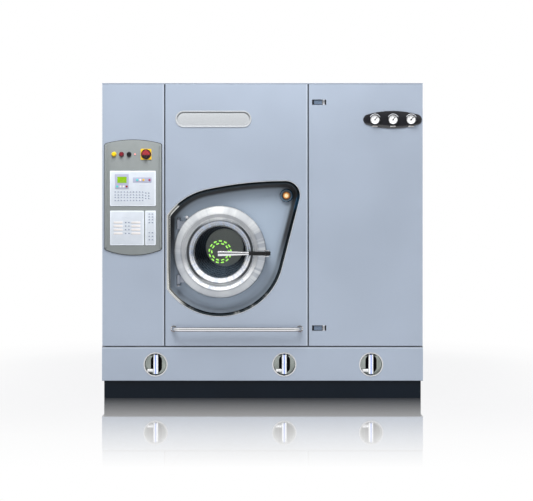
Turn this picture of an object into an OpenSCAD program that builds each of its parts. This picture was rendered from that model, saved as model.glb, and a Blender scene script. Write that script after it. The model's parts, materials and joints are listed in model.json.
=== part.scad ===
// Dry cleaning machine: a cabinet with a round loading door over a perforated
// drum, a control door on the left, a service door on the right, solvent tanks
// with sight ports in the base, and the drive, fan, still, filters, pump and
// cooling unit inside.  Millimetres.  +X is right seen from the front, +Y is
// the back, +Z is up, and the origin is on the floor under the middle.

/* [Cabinet] */
// Width of the cabinet
body_w = 2000; // [1960:10:2300]
// Depth of the cabinet from front skin to rear skin
body_d = 1340; // [1320:10:1600]
// Height from the floor to the top of the lid
body_h = 1966; // [1940:2:2200]
// Height of the dark plinth
plinth_h = 111; // [100:1:125]
// Setback of the plinth from the cabinet faces
plinth_setback = 12; // [8:1:20]
// Height of the base panel over the tanks
base_h = 212; // [205:1:230]
// Width of the control column, out to the middle of its seam
control_w = 391; // [385:1:405]
// Width of the service column, out to the middle of its seam
service_w = 715; // [700:1:740]
// Width of the seams between the front panels
seam_w = 4; // [3:0.5:5]
// Thickness of the sheet metal
sheet_t = 3; // [2:0.5:3.5]
// Thickness of the lid
lid_t = 4; // [3:0.5:6]
// Depth of the folded edges of the doors and the front panel
fold_d = 22; // [20:1:24]
// Side of the square frame tube
tube_w = 40; // [34:1:44]
// Setback of the posts and side panels from the front face
post_setback = 28; // [27:1:34]
// Clearance where pieces fit or run in each other
clear = 0.3; // [0.2:0.05:0.4]

/* [Front doors] */
// Distance of a door pivot from the two outer faces of its corner
pivot_in = 12; // [11:0.5:13]
// Radius of the door pivot pins
pivot_r = 4; // [3:0.5:5]
// How far a pivot pin stands into the frame rail
pivot_seat = 12; // [8:1:20]

/* [Loading door] */
// Place of the drum axis across the cabinet, from its middle
drum_x = -266; // [-280:1:-255]
// Height of the drum axis
drum_z = 913; // [905:1:930]
// Outer radius of the loading door ring
ring_r = 289; // [284:1:292]
// Radius of the foremost edge of the ring
crest_r = 240; // [236:1:244]
// How far the crest stands out of the front face
crest_out = 12; // [8:1:16]
// Depth of the back of the ring behind the front face
ring_back = 58; // [54:1:60]
// Depth of the outer edge of the ring
ring_edge = 36; // [30:1:40]
// Radius of the bead where the finely turned band ends
bead_r = 215; // [212:1:218]
// Outer radius of the polished funnel ring
funnel_r = 195.5; // [194:0.5:197]
// Radius of the clear glass
glass_r = 164; // [158:1:168]
// Depth of the glass behind the front face
glass_depth = 47; // [44:1:50]
// Thickness of the door glass
glass_t = 11; // [8:1:13]
// Distance of the hinge axis from the drum axis
hinge_dx = 260; // [256:1:264]
// Depth of the hinge axis behind the front face
hinge_depth = 30; // [27:1:32]
// Radius of the hinge pins
hinge_r = 7; // [5:0.5:8]
// Height of each hinge lug along its pin
hinge_len = 60; // [40:1:64]
// Distance of the middle of each hinge lug above and below the drum axis
hinge_dz = 172; // [170:1:180]
// Distance of the lever pivot from the drum axis
lever_dx = 299; // [297:1:305]
// Length of the lever from its pivot to its free end
lever_len = 310; // [280:1:320]
// Radius of the black lever grip
grip_r = 13.5; // [11:0.5:15]
// Length of the black lever grip
grip_len = 104; // [90:1:115]
// Depth of the soft lip of the door gasket
gasket_r = 224; // [220:1:228]

/* [Recess] */
// Radius of the recess round the door
recess_r = 403; // [400:1:410]
// Distance of the straight left edge of the recess from the drum axis
recess_left = 331.5; // [328:0.5:334]
// Depth of the recess
recess_d = 80; // [76:1:90]
// Centre of the upper right corner, right of the drum axis
corner_dx = 409.3; // [400:0.1:415]
// Centre of the upper right corner, above the drum axis
corner_dz = 353; // [345:1:358]
// Radius of the upper right corner
corner_r = 94; // [88:1:98]
// Width of the polished trim round the recess
trim_w = 23; // [18:1:26]
// Thickness of the polished trim
trim_t = 10; // [8:1:14]
// How far the trim stands out of the front face
trim_out = 2; // [1:0.5:4]
// Radius of the recess lamp
lamp_r = 42; // [36:1:48]
// Radius of the lamp lens
lens_r = 21; // [16:1:26]
// How far the lamp stands off the recess floor
lamp_h = 26; // [18:1:34]

/* [Drum] */
// Outer radius of the basket
basket_r = 480; // [470:1:484]
// Depth of the basket
basket_d = 620; // [560:1:660]
// Radius of the basket mouth
mouth_r = 200; // [194:1:203]
// Height of the lifter ribs
rib_h = 70; // [50:1:90]
// Number of lifter ribs
rib_n = 3; // [2:1:4]
// Outer radius of the tub round the basket
tub_r = 523; // [515:1:526]
// Depth of the tub
tub_d = 700; // [690:1:760]
// Inner radius of the loading collar
collar_r = 205; // [204:1:208]
// Radius of the drum shaft
shaft_r = 40; // [32:1:45]
// Radius of the drum pulley
pulley_r = 300; // [240:1:320]
// Radius of the motor pulley
small_pulley_r = 50; // [40:1:60]
// Width of the drive belt
belt_w = 40; // [30:1:46]
// Thickness of the drive belt
belt_t = 8; // [5:1:12]
// Radius of the drive motor
motor_r = 108; // [95:1:112]

/* [Control panel] */
// Width of the grey bezel
bezel_w = 354; // [340:1:358]
// Height of the bezel at its middle
bezel_h = 716; // [700:1:740]
// Height of the bottom of the bezel
bezel_z = 895; // [880:1:920]
// How far the bezel stands out of the door
bezel_out = 8; // [6:1:12]
// Radius of the push buttons
button_r = 11; // [9:0.5:13]
// Travel of the push buttons
button_travel = 4; // [3:0.5:6]
// Distance between the push buttons
button_pitch = 46.8; // [44:0.2:50]
// Side of the plate under the main switch
switch_w = 67; // [62:1:70]
// Radius of the main switch knob
knob_r = 27; // [24:1:30]

/* [Service door] */
// Width of the gauge panel
gauge_panel_w = 365; // [360:1:368]
// Height of the gauge panel
gauge_panel_h = 110; // [104:1:116]
// Radius of the gauge cases
gauge_r = 36; // [32:1:38]
// Distance between the gauges
gauge_pitch = 112.5; // [110:0.5:114]
// Width of a latch cup
latch_w = 88; // [80:1:96]
// Height of a latch cup
latch_h = 33; // [30:1:38]

/* [Rail, badge and ports] */
// Length of the guard rail
rail_len = 812; // [760:1:830]
// Radius of the guard rail tube
rail_r = 13.5; // [11:0.5:16]
// How far the guard rail stands out of the front face
rail_out = 60; // [58:1:62]
// Height of the guard rail
rail_z = 436; // [425:1:450]
// Length of the blank name plate
badge_w = 474; // [440:1:490]
// Height of the blank name plate
badge_h = 103; // [95:1:110]
// Thickness of the name plate
badge_t = 4; // [2:0.5:6]
// Radius of the sight ports
port_r = 75.5; // [70:0.5:78]
// Radius of the level tubes
level_r = 13; // [10:0.5:16]
// How far the pipe ends stand out of the rear face
pipe_out = 60; // [58:1:62]

/* [Hidden] */
// Every node, in the order of the record

$fn = 72;
// Colours, as the photograph shows them
PAINT = [0.68, 0.72, 0.78];
DARK = [0.12, 0.14, 0.18];
STEEL = [0.75, 0.77, 0.78];
BLACK = [0.08, 0.08, 0.09];
FRAME_GREY = [0.45, 0.47, 0.50];

// The faces of the cabinet
left = -body_w / 2;
right = body_w / 2;
front = -body_d / 2;
back = body_d / 2;
base_top = plinth_h + base_h;
upper_z0 = base_top + seam_w;
upper_z1 = body_h - lid_t - seam_w / 2;
lid_z = body_h - lid_t;
left_seam = left + control_w;
right_seam = right - service_w;

// The frame, which stays inside the skins
in_x0 = left + sheet_t + clear;
in_x1 = right - sheet_t - clear;
in_y0 = front + post_setback;
in_y1 = back - sheet_t - clear;
rail_h = 26;
rail_z1 = base_top;
rail_z0 = rail_z1 - rail_h;
frame_z1 = lid_z - clear;
mid_x0 = left_seam - 32;
mid_x1 = right_seam - tube_w / 2;
shelf_z = 1080;
beam_z0 = rail_z1 + clear;
beam_h = tube_w;
drum_beam_y = [front + 300, front + 700, front + 960];

// Depths along the drum axis
tub_y0 = front + recess_d + 90;
tub_y1 = tub_y0 + tub_d;
basket_y0 = tub_y0 + 30;
basket_y1 = basket_y0 + basket_d;
housing_y1 = tub_y1 + 230;
pulley_y0 = housing_y1 + 50;
collar_flange_r = collar_r + 37;
collar_hole_r = collar_flange_r + clear;

// Ribs of the basket, turned from straight down
rib_angle = 12;

// Drive motor
motor_shaft_r = 14;
motor_x = drum_x + 446;
motor_z = drum_z - 433;

// Fan over the drum
fan_room = lid_z - drum_z - tub_r;
fan_z = drum_z + tub_r + 0.578 * fan_room;
fan_y0 = front + 500;
fan_r = 0.3042 * fan_room;
fan_w = 140;
fan_wall = 3;
duct_z1 = fan_z - fan_r - 12;

// Recess outline: the big top arc is tangent inside to the door circle and to
// the corner circle, and the right edge is their outer tangent.
corner_x = drum_x + corner_dx;
corner_z = drum_z + corner_dz;
rise = -corner_dz - corner_r;
top_arc_r = (recess_r * recess_r - corner_dx * corner_dx - rise * rise) / (2 * (rise + recess_r));
top_arc_z = corner_z - (top_arc_r - corner_r);
centre_gap = sqrt(corner_dx * corner_dx + corner_dz * corner_dz);
edge_angle = atan2(corner_dz, corner_dx) - acos((recess_r - corner_r) / centre_gap);

// Control panel places
bezel_x = left + control_w / 2 - 1;
button_z = bezel_z + bezel_h - 89;
first_button_x = bezel_x - 118.5;
switch_x = bezel_x + 81;
bezel_face = front - bezel_out;
collar_out = 6;
plate_out = 4;

// Gauge places
gauge_z = body_h - 228;
gauge_x0 = right - 300;
gauge_panel_x = right - 190;
gauge_face = front - 6;

// Latch places
latch_x = right_seam + 68;
latch_z = [body_h - 119, base_top + 117];
cup_d = 16;
latch_pin_r = 2;
latch_barrel_r = 4.5;

// Loading door
hinge_x = drum_x - hinge_dx;
hinge_y = front + hinge_depth;
lever_x = drum_x + lever_dx;
lever_z = drum_z - 7;
lever_y = front - 24;
clamp_t = 5;

// Lever
lever_pin_r = 3.5;
lever_barrel_r = 8;
grip_y = front - rail_out + grip_r;
grip_x1 = lever_x - 13;
grip_x0 = grip_x1 - grip_len;

// Sight ports
port_x = [left + 334, left + 1136, left + 1677];
port_z = plinth_h + 102;

// Rear connections: place across, height, bore and name by order
stub_x = [drum_x + fan_r + 95, 680, 800, 480, 560, 880];
stub_z = [drum_z + tub_r + 0.643 * fan_room, 1300, 1300, 1560, 1560, 1560];
stub_r = [75, 16.7, 16.7, 13.5, 13.5, 6.8];
gland_x = -700;
gland_z = 1500;

// ---- Small shapes -------------------------------------------------------

// A box between two corners
module bar(p, q) {
    translate(p)
        cube(q - p);
}

// A round bar along +Y from its front centre
module round_y(x, y0, z, r, y1) {
    translate([x, y0, z])
        rotate([-90, 0, 0])
            cylinder(r = r, h = y1 - y0);
}

// A round bar along +Z
module round_z(x, y, z0, r, z1) {
    translate([x, y, z0])
        cylinder(r = r, h = z1 - z0);
}

// A round bar along +X
module round_x(x0, y, z, r, x1) {
    translate([x0, y, z])
        rotate([0, 90, 0])
            cylinder(r = r, h = x1 - x0);
}

// A turned shape on an axis along +Y, from a profile of [radius, y]
module turned(x, z, profile, sides = 96) {
    translate([x, 0, z])
        rotate([-90, 0, 0])
            rotate_extrude($fn = sides)
                polygon(profile);
}

// A ring on an axis along +Y
module ring_y(x, z, r_in, r_out, y0, y1) {
    turned(x, z, [[r_in, y0], [r_out, y0], [r_out, y1], [r_in, y1]]);
}

// Draws a front-view outline, in X and Z, as a plate from y0 to y1
module plate_y(y0, y1) {
    translate([0, y1, 0])
        rotate([90, 0, 0])
            linear_extrude(y1 - y0)
                children();
}

// A front panel folded back round its four edges
module folded_panel(x0, x1, z0, z1) {
    difference() {
        bar([x0, front, z0], [x1, front + fold_d, z1]);
        bar([x0 + sheet_t, front + sheet_t, z0 + sheet_t],
            [x1 - sheet_t, front + fold_d + 1, z1 - sheet_t]);
    }
}

// Points along an arc in the front view, from angle a0 to a1
function arc(c, r, a0, a1, steps) = [
    for (i = [0:steps]) let (a = a0 + (a1 - a0) * i / steps) c + r * [cos(a), sin(a)]
];

// The recess outline grown by g, anticlockwise from the foot of its right edge
module recess_outline(g) {
    d = [drum_x, drum_z];
    k = [corner_x, corner_z];
    t = [corner_x, top_arc_z];
    top_angle = atan2(drum_z - top_arc_z, drum_x - corner_x);
    left_angle = acos(-(recess_left + g) / (recess_r + g));
    polygon(concat(
        arc(k, corner_r + g, edge_angle, 90, 20),
        arc(t, top_arc_r + g, 90, top_angle, 14),
        arc(d, recess_r + g, top_angle, left_angle, 10),
        arc(d, recess_r + g, 360 - left_angle, 360 + edge_angle, 36)
    ));
}

// ---- Base ---------------------------------------------------------------

// The corners of the plinth
px0 = left + plinth_setback;
px1 = right - plinth_setback;
py0 = front + plinth_setback;
py1 = back - plinth_setback;
leg_x = [px0, mid_x0, mid_x1, px1 - tube_w];

module base_frame() {
    color(DARK) {
        bar([px0, py0, 0], [px1, py0 + tube_w, plinth_h]);
        bar([px0, py1 - tube_w, 0], [px1, py1, plinth_h]);
        for (x = leg_x)
            bar([x, py0 + tube_w + clear, 0], [x + tube_w, py1 - tube_w - clear, plinth_h]);
    }
}

// Tray walls and floor
tray_x0 = px0 + tube_w + 10;
tray_x1 = px1 - tube_w - 10;
tray_y0 = front + 60;
tray_y1 = back - 60;
tray_z0 = plinth_h + clear;
tray_wall = 42;
tank_z0 = tray_z0 + sheet_t + clear;
tank_z1 = rail_z0 - 8;
tank_y0 = tray_y0 + sheet_t + 8;
tank_y1 = tray_y1 - 120;
tank_edges = [tray_x0 + 8, left + 610, left + 1380, tray_x1 - 8];

module spill_tray() {
    color(STEEL)
        difference() {
            bar([tray_x0, tray_y0, tray_z0], [tray_x1, tray_y1, tray_z0 + tray_wall]);
            bar([tray_x0 + sheet_t, tray_y0 + sheet_t, tray_z0 + sheet_t],
                [tray_x1 - sheet_t, tray_y1 - sheet_t, tray_z0 + tray_wall + 1]);
        }
}

module solvent_tanks() {
    color(STEEL)
        for (i = [0:2])
            difference() {
                bar([tank_edges[i], tank_y0, tank_z0], [tank_edges[i + 1] - 10, tank_y1, tank_z1]);
                bar([tank_edges[i] + sheet_t, tank_y0 + sheet_t, tank_z0 + sheet_t],
                    [tank_edges[i + 1] - 10 - sheet_t, tank_y1 - sheet_t, tank_z1 - sheet_t]);
            }
}

module base_front_panel() {
    color(PAINT)
        difference() {
            union() {
                bar([left, front, plinth_h + clear], [right, front + sheet_t, base_top]);
                bar([left, front, plinth_h + clear], [left + sheet_t, front + fold_d, base_top]);
                bar([right - sheet_t, front, plinth_h + clear], [right, front + fold_d, base_top]);
                bar([left, front, plinth_h + clear], [right, front + fold_d, plinth_h + clear + sheet_t]);
            }
            for (x = port_x)
                round_y(x, front - 1, port_z, port_r - 4, front + sheet_t + 1);
        }
}

// A round cup behind its rim, with two short pipes back to the tank
cup_back = front + 2 * level_r + sheet_t;

module sight_ports() {
    color(STEEL)
        for (x = port_x) {
            turned(x, port_z, [
                [port_r - 6, front - 4], [port_r, front - 2], [port_r, front - clear],
                [port_r - 4 - clear, front - clear], [port_r - 4 - clear, cup_back + sheet_t],
                [0, cup_back + sheet_t], [0, cup_back], [port_r - 8, cup_back]
            ]);
            for (s = [-1, 1])
                round_y(x, cup_back + 1, port_z + s * 45, 8, tank_y0 - clear);
        }
}

module level_tubes() {
    color("white")
        for (x = port_x)
            round_z(x, cup_back - clear - level_r, port_z - port_r + 16, level_r, port_z + port_r - 16);
}

// ---- Cabinet ------------------------------------------------------------

module upright(x, y) {
    bar([x, y, rail_z1 + clear], [x + tube_w, y + tube_w, frame_z1 - tube_w - clear]);
}

// The bore that a door pivot pin stands in
module pivot_bores() {
    for (x = [left + pivot_in, right - pivot_in])
        round_z(x, front + pivot_in, rail_z1 - pivot_seat, pivot_r + clear / 2, frame_z1 + lid_t + 10);
}

module body_frame() {
    back_y = in_y1 - tube_w;
    top_z0 = frame_z1 - tube_w;
    post_x = [in_x0, mid_x0, mid_x1, in_x1 - tube_w];
    color(FRAME_GREY) {
        difference() {
            bar([in_x0, front + sheet_t + clear, rail_z0], [in_x1, front + sheet_t + tube_w, rail_z1]);
            pivot_bores();
        }
        bar([in_x0, back_y, rail_z0], [in_x1, in_y1, rail_z1]);
        bar([in_x0, in_y0, top_z0], [in_x1, in_y0 + tube_w, frame_z1]);
        bar([in_x0, back_y, top_z0], [in_x1, in_y1, frame_z1]);
        for (x = post_x) {
            upright(x, in_y0);
            upright(x, back_y);
            bar([x, front + sheet_t + tube_w + clear, rail_z0], [x + tube_w, back_y - clear, rail_z1]);
            bar([x, in_y0 + tube_w + clear, top_z0], [x + tube_w, back_y - clear, frame_z1]);
        }
        for (x = [post_x[2], post_x[3]])
            bar([x, in_y0 + tube_w + clear, shelf_z], [x + tube_w, back_y - clear, shelf_z + tube_w]);
        for (x = leg_x) {
            leg_in = max(x, in_x0);
            bar([leg_in, cup_back + sheet_t + clear, plinth_h + clear],
                [x + tube_w, tray_y0 - clear, rail_z0 - clear]);
            bar([leg_in, back_y, plinth_h + clear], [x + tube_w, py1, rail_z0 - clear]);
        }
        for (y = drum_beam_y)
            bar([mid_x0, y, beam_z0], [mid_x1 + tube_w / 2 - 1, y + tube_w, beam_z0 + beam_h]);
    }
}

// Ventilation slots, one above the other
vent_n = 9;
vent_pitch = 16;
vent_h = 5;
vent_w = 260;
vent_low_z = base_top + 60;
vent_high_z = lid_z - 62 - vent_n * vent_pitch;
groove_w = 3;
groove_d = 1.2;

module vents_y(x, z) {
    for (i = [0:vent_n - 1])
        bar([x, back - sheet_t - 1, z + i * vent_pitch], [x + vent_w, back + 1, z + i * vent_pitch + vent_h]);
}

module vents_x(x, y, z) {
    for (i = [0:vent_n - 1])
        bar([x - 1, y, z + i * vent_pitch], [x + sheet_t + 1, y + vent_w, z + i * vent_pitch + vent_h]);
}

// A side sheet with a joint line down its middle and slots at its foot and top
module side_panel(x, outer_x) {
    y0 = front + post_setback;
    mid_y = (y0 + back) / 2;
    color(PAINT)
        difference() {
            bar([x, y0, plinth_h + clear], [x + sheet_t, back, lid_z - clear]);
            bar([outer_x - groove_d, mid_y - groove_w / 2, plinth_h],
                [outer_x + groove_d, mid_y + groove_w / 2, lid_z]);
            for (z = [vent_low_z, vent_high_z]) {
                vents_x(x, (y0 + mid_y - vent_w) / 2, z);
                vents_x(x, (mid_y + back - vent_w) / 2, z);
            }
        }
}

module left_side_panel() {
    side_panel(left, left);
}

module right_side_panel() {
    side_panel(right - sheet_t, right);
}

module top_panel() {
    color(PAINT)
        difference() {
            bar([left, front, lid_z], [right, back, body_h]);
            for (x = [left + pivot_in, right - pivot_in])
                round_z(x, front + pivot_in, lid_z - 1, pivot_r + clear / 2, body_h - 1);
            for (x = [left_seam, right_seam])
                bar([x - groove_w / 2, front - 1, body_h - groove_d],
                    [x + groove_w / 2, back + 1, body_h + 1]);
        }
}

module rear_panel() {
    color(PAINT)
        difference() {
            bar([left + sheet_t + clear, back - sheet_t, plinth_h + clear],
                [right - sheet_t - clear, back, lid_z - clear]);
            for (i = [0:5])
                round_y(stub_x[i], back - sheet_t - 1, stub_z[i], stub_r[i] + 1, back + 1);
            round_y(gland_x, back - sheet_t - 1, gland_z, 17, back + 1);
            for (x = [left_seam, right_seam])
                bar([x - groove_w / 2, back - groove_d, plinth_h], [x + groove_w / 2, back + 1, lid_z]);
            for (z = [vent_low_z, vent_high_z]) {
                vents_y((left + left_seam - vent_w) / 2, z);
                vents_y((right_seam + right) / 2 - vent_w - 20, z);
                vents_y((right_seam + right) / 2 + 20, z);
            }
        }
}

module front_panel() {
    color(PAINT)
        difference() {
            folded_panel(left_seam + seam_w / 2, right_seam - seam_w / 2, upper_z0, upper_z1);
            plate_y(front - 1, front + fold_d + 1)
                recess_outline(clear);
        }
}

// The pan hangs behind the trim, with a floor round the loading collar
module recess_pan() {
    rim_y = front - trim_out + trim_t + clear;
    floor_y = front + recess_d;
    color(PAINT)
        difference() {
            plate_y(rim_y, floor_y + sheet_t)
                recess_outline(0);
            plate_y(rim_y - 1, floor_y)
                recess_outline(-sheet_t);
            round_y(drum_x, floor_y - 1, drum_z, collar_hole_r, floor_y + sheet_t + 1);
        }
}

module recess_trim() {
    color(STEEL)
        plate_y(front - trim_out, front - trim_out + trim_t)
            difference() {
                recess_outline(0);
                recess_outline(-trim_w);
            }
}

module name_plate() {
    end_r = badge_h / 2;
    x0 = -542.5;
    z0 = body_h - 224;
    color(STEEL)
        plate_y(front - badge_t, front) {
            translate([x0 + end_r, z0])
                circle(r = end_r);
            translate([x0 + badge_w - end_r, z0])
                circle(r = end_r);
            translate([x0 + end_r, z0 - end_r])
                square([badge_w - badge_h, badge_h]);
        }
}

// A tube along X with its ends bent back to the panel
module guard_rail() {
    x0 = -566 + rail_r;
    x1 = x0 + rail_len - 2 * rail_r;
    bend = 3 * rail_r;
    y0 = front - rail_out + rail_r;
    color(STEEL) {
        round_x(x0 + bend, y0, rail_z, rail_r, x1 - bend);
        for (side = [0, 1])
            translate([side == 0 ? x0 : x1, 0, rail_z])
                mirror([side, 0, 0]) {
                    translate([bend, y0 + bend, 0])
                        rotate([0, 0, 180])
                            rotate_extrude(angle = 90)
                                translate([bend, 0])
                                    circle(r = rail_r, $fn = 32);
                    round_y(0, y0 + bend, 0, rail_r, front);
                    round_y(0, front - 4, 0, rail_r + 7, front);
                }
    }
}

// A lamp on the recess floor: a black bezel round an orange lens
module recess_lamp() {
    floor_y = front + recess_d - clear;
    face = floor_y - lamp_h;
    color(BLACK)
        turned(corner_x + 7, corner_z, [
            [lens_r + clear, face + 4], [lens_r + 5, face], [lamp_r - 6, face + 2],
            [lamp_r, face + 9], [lamp_r, floor_y], [lens_r + clear, floor_y]
        ]);
    color("orange")
        turned(corner_x + 7, corner_z, [
            [0, face - 3], [lens_r * 0.6, face - 1], [lens_r, face + 5], [lens_r, floor_y], [0, floor_y]
        ]);
}

// Pivot pins of the two tall doors, the pins and brackets of the loading door,
// and the stud it swings back from
bracket_t = 12;

module hinge_pins() {
    floor_y = front + recess_d;
    color(STEEL) {
        for (x = [left + pivot_in, right - pivot_in]) {
            round_z(x, front + pivot_in, rail_z1 - pivot_seat, pivot_r, upper_z0 + sheet_t + 3);
            round_z(x, front + pivot_in, upper_z1 - sheet_t - 3, pivot_r, body_h - 1 - clear);
        }
        for (s = [-1, 1]) {
            lug_z = drum_z + s * hinge_dz;
            tip_z = lug_z - s * (hinge_len / 2 - 2);
            foot_z = lug_z + s * (hinge_len / 2 + clear);
            end_z = foot_z + s * bracket_t;
            round_z(hinge_x, hinge_y, min(tip_z, end_z), hinge_r, max(tip_z, end_z));
            round_z(hinge_x, hinge_y, min(foot_z, end_z), hinge_r + 4, max(foot_z, end_z));
            bar([hinge_x - hinge_r - 4, hinge_y, min(foot_z, end_z)],
                [hinge_x + hinge_r + 4, floor_y - clear, max(foot_z, end_z)]);
        }
        turned(hinge_x + 52, drum_z + 216, [
            [0, floor_y - 34], [8, floor_y - 34], [10, floor_y - 30], [10, floor_y - 16],
            [6, floor_y - 14], [6, floor_y - clear], [0, floor_y - clear]
        ], 36);
    }
}

// ---- Control door -------------------------------------------------------

// Bores for the three buttons and the switch stem
module control_bores(r_add) {
    for (i = [0:2])
        round_y(first_button_x + i * button_pitch, bezel_face - 20, button_z,
            button_r + r_add, front + fold_d);
    round_y(switch_x, bezel_face - 20, button_z, 7 + r_add, front + fold_d);
}

module control_door() {
    color(PAINT)
        difference() {
            folded_panel(left + seam_w / 2, left_seam - seam_w / 2, upper_z0, upper_z1);
            control_bores(2);
            round_z(left + pivot_in, front + pivot_in, upper_z0 - 1, pivot_r + clear, upper_z1 + 1);
        }
}

// A tall plate with arched ends and two raised side lips
module control_bezel() {
    half = bezel_w / 2;
    top_r = 639;
    foot_r = 465;
    color("gray")
        difference() {
            union() {
                plate_y(bezel_face, front - clear)
                    bezel_outline(half, top_r, foot_r);
                for (s = [-1, 1])
                    plate_y(bezel_face - 7, bezel_face)
                        intersection() {
                            bezel_outline(half, top_r, foot_r);
                            translate([bezel_x + s * (half - 7) - 7, bezel_z])
                                square([14, bezel_h]);
                        }
            }
            control_bores(1.5);
        }
}

module bezel_outline(half, top_r, foot_r) {
    intersection() {
        translate([bezel_x - half, bezel_z])
            square([2 * half, bezel_h]);
        translate([bezel_x, bezel_z + bezel_h - top_r])
            circle(r = top_r, $fn = 360);
        translate([bezel_x, bezel_z + foot_r])
            circle(r = foot_r, $fn = 360);
    }
}

// The membrane key panels, with the display in the upper one
panel_t = 3;
upper_panel = [-143.4, 0.426 * bezel_h, 284.8, 0.3059 * bezel_h];
lower_panel = [-142.8, 0.0852 * bezel_h, 210.6, 0.301 * bezel_h];
strip_panel = [75.9, 0.0852 * bezel_h, 65.4, 0.301 * bezel_h];
display_at = [-97.4, 0.626 * bezel_h, 58, 0.0539 * bezel_h];

module membrane_panels() {
    face = bezel_face - panel_t;
    color("white") {
        for (p = [upper_panel, lower_panel, strip_panel])
            bar([bezel_x + p[0], face, bezel_z + p[1]],
                [bezel_x + p[0] + p[2], bezel_face, bezel_z + p[1] + p[3]]);
        bar([bezel_x + display_at[0], face - 3 - clear, bezel_z + display_at[1]],
            [bezel_x + display_at[0] + display_at[2], face - clear, bezel_z + display_at[1] + display_at[3]]);
    }
}

// Each button has a collar on the bezel and a contact block behind the door
module button_collars() {
    color(BLACK)
        for (i = [0:2]) {
            x = first_button_x + i * button_pitch;
            ring_y(x, button_z, button_r + clear, button_r + 4.5,
                bezel_face - collar_out, bezel_face - clear);
            difference() {
                bar([x - 15, front + sheet_t + clear, button_z - 20],
                    [x + 15, front + fold_d + 26, button_z + 20]);
                round_y(x, front, button_z, button_r + clear, front + fold_d + 12);
            }
        }
}

module switch_plate() {
    color("yellow")
        difference() {
            plate_y(bezel_face - plate_out, bezel_face - clear)
                translate([switch_x - switch_w / 2, button_z - switch_w / 2])
                    square([switch_w, switch_w]);
            control_bores(clear);
        }
}

// The knob turns on a stem through the plate
module switch_knob() {
    face = bezel_face - plate_out - clear;
    color("red") {
        round_y(switch_x, face - 9, button_z, knob_r, face);
        round_y(switch_x, face - 1, button_z, 7, front + fold_d - 2);
        bar([switch_x - 6, face - 26, button_z - knob_r + 3],
            [switch_x + 6, face - 8, button_z + knob_r - 3]);
    }
}

// A button cap with its plunger through the door
module push_button(i, cap_out) {
    x = first_button_x + i * button_pitch;
    turned(x, button_z, [
        [0, bezel_face - cap_out], [button_r - 2, bezel_face - cap_out],
        [button_r, bezel_face - cap_out + 2], [button_r, front + fold_d + 11.7 - button_travel],
        [0, front + fold_d + 11.7 - button_travel]
    ], 48);
}

module yellow_button() {
    color("yellow")
        push_button(0, 16);
}

module red_button() {
    color("red")
        push_button(1, 16);
}

module black_button() {
    color(BLACK)
        push_button(2, 14);
}

// ---- Service door -------------------------------------------------------

module service_door() {
    color(PAINT)
        difference() {
            folded_panel(right_seam + seam_w / 2, right - seam_w / 2, upper_z0, upper_z1);
            round_z(right - pivot_in, front + pivot_in, upper_z0 - 1, pivot_r + clear, upper_z1 + 1);
            for (z = latch_z)
                bar([latch_x - latch_w / 2, front - 1, z - latch_h / 2],
                    [latch_x + latch_w / 2, front + sheet_t + 1, z + latch_h / 2]);
        }
}

// A glossy plate with arched edges that run smoothly into its round ends
module gauge_panel() {
    end_r = 33;
    end_x = gauge_panel_w / 2 - end_r;
    sag = gauge_panel_h / 2;
    arc_r = (end_x * end_x + sag * sag - end_r * end_r) / (2 * (sag - end_r));
    half = atan2(end_x, arc_r - sag);
    at = [gauge_panel_x, gauge_z];
    color(BLACK)
        plate_y(gauge_face, front - clear)
            polygon(concat(
                arc(at + [end_x, 0], end_r, half - 90, 90 - half, 16),
                arc(at + [0, sag - arc_r], arc_r, 90 - half, 90 + half, 20),
                arc(at - [end_x, 0], end_r, 90 + half, 270 - half, 16),
                arc(at + [0, arc_r - sag], arc_r, 270 - half, 270 + half, 20)
            ));
}

// A case with a dial sunk in it and a pin for the needle
pin_r = 2;
dial_y = gauge_face - clear - 4;

module gauge_bodies() {
    face = gauge_face - clear;
    color(BLACK)
        for (i = [0:2])
            turned(gauge_x0 + i * gauge_pitch, gauge_z, [
                [0, dial_y - 6], [pin_r, dial_y - 6], [pin_r, dial_y], [gauge_r - 6, dial_y],
                [gauge_r - 6, face - 15], [gauge_r - 3, face - 17], [gauge_r, face - 14],
                [gauge_r, face], [0, face]
            ]);
}

// A needle on its pin, at an angle up from +X
module needle(i, angle) {
    color("black")
        translate([gauge_x0 + i * gauge_pitch, 0, gauge_z])
            rotate([0, -angle, 0])
                difference() {
                    union() {
                        round_y(0, dial_y - 5, 0, 5, dial_y - clear);
                        bar([-8, dial_y - 4.5, -1.2], [gauge_r - 12, dial_y - 3, 1.2]);
                    }
                    round_y(0, dial_y - 6, 0, pin_r + clear, dial_y);
                }
}

module left_needle() {
    needle(0, 48);
}

module middle_needle() {
    needle(1, 52);
}

module right_needle() {
    needle(2, 46);
}

// The latch pin is upright in its cup, to the right of the middle
latch_pin_x = latch_x + 14;
latch_pin_y = front + 8;

module latch_cups() {
    half_w = latch_w / 2 - clear;
    half_h = latch_h / 2 - clear;
    color(BLACK)
        for (z = latch_z) {
            difference() {
                bar([latch_x - half_w, front - 1, z - half_h],
                    [latch_x + half_w, front + cup_d + 2, z + half_h]);
                bar([latch_x - half_w + 2, front - 2, z - half_h + 2],
                    [latch_x + half_w - 2, front + cup_d, z + half_h - 2]);
            }
            round_z(latch_pin_x, latch_pin_y, z - half_h + 1, latch_pin_r, z + half_h - 1);
        }
}

// A paddle on its barrel, with its free end to the left
module latch_paddle(z) {
    half_h = latch_h / 2 - 2 - 2 * clear;
    color(STEEL)
        difference() {
            union() {
                round_z(latch_pin_x, latch_pin_y, z - half_h, latch_barrel_r, z + half_h);
                bar([latch_pin_x - 46, latch_pin_y - latch_barrel_r, z - half_h],
                    [latch_pin_x, latch_pin_y - 1.5, z + half_h]);
            }
            round_z(latch_pin_x, latch_pin_y, z - half_h - 1, latch_pin_r + clear, z + half_h + 1);
        }
}

module upper_latch() {
    latch_paddle(latch_z[0]);
}

module lower_latch() {
    latch_paddle(latch_z[1]);
}

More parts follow.
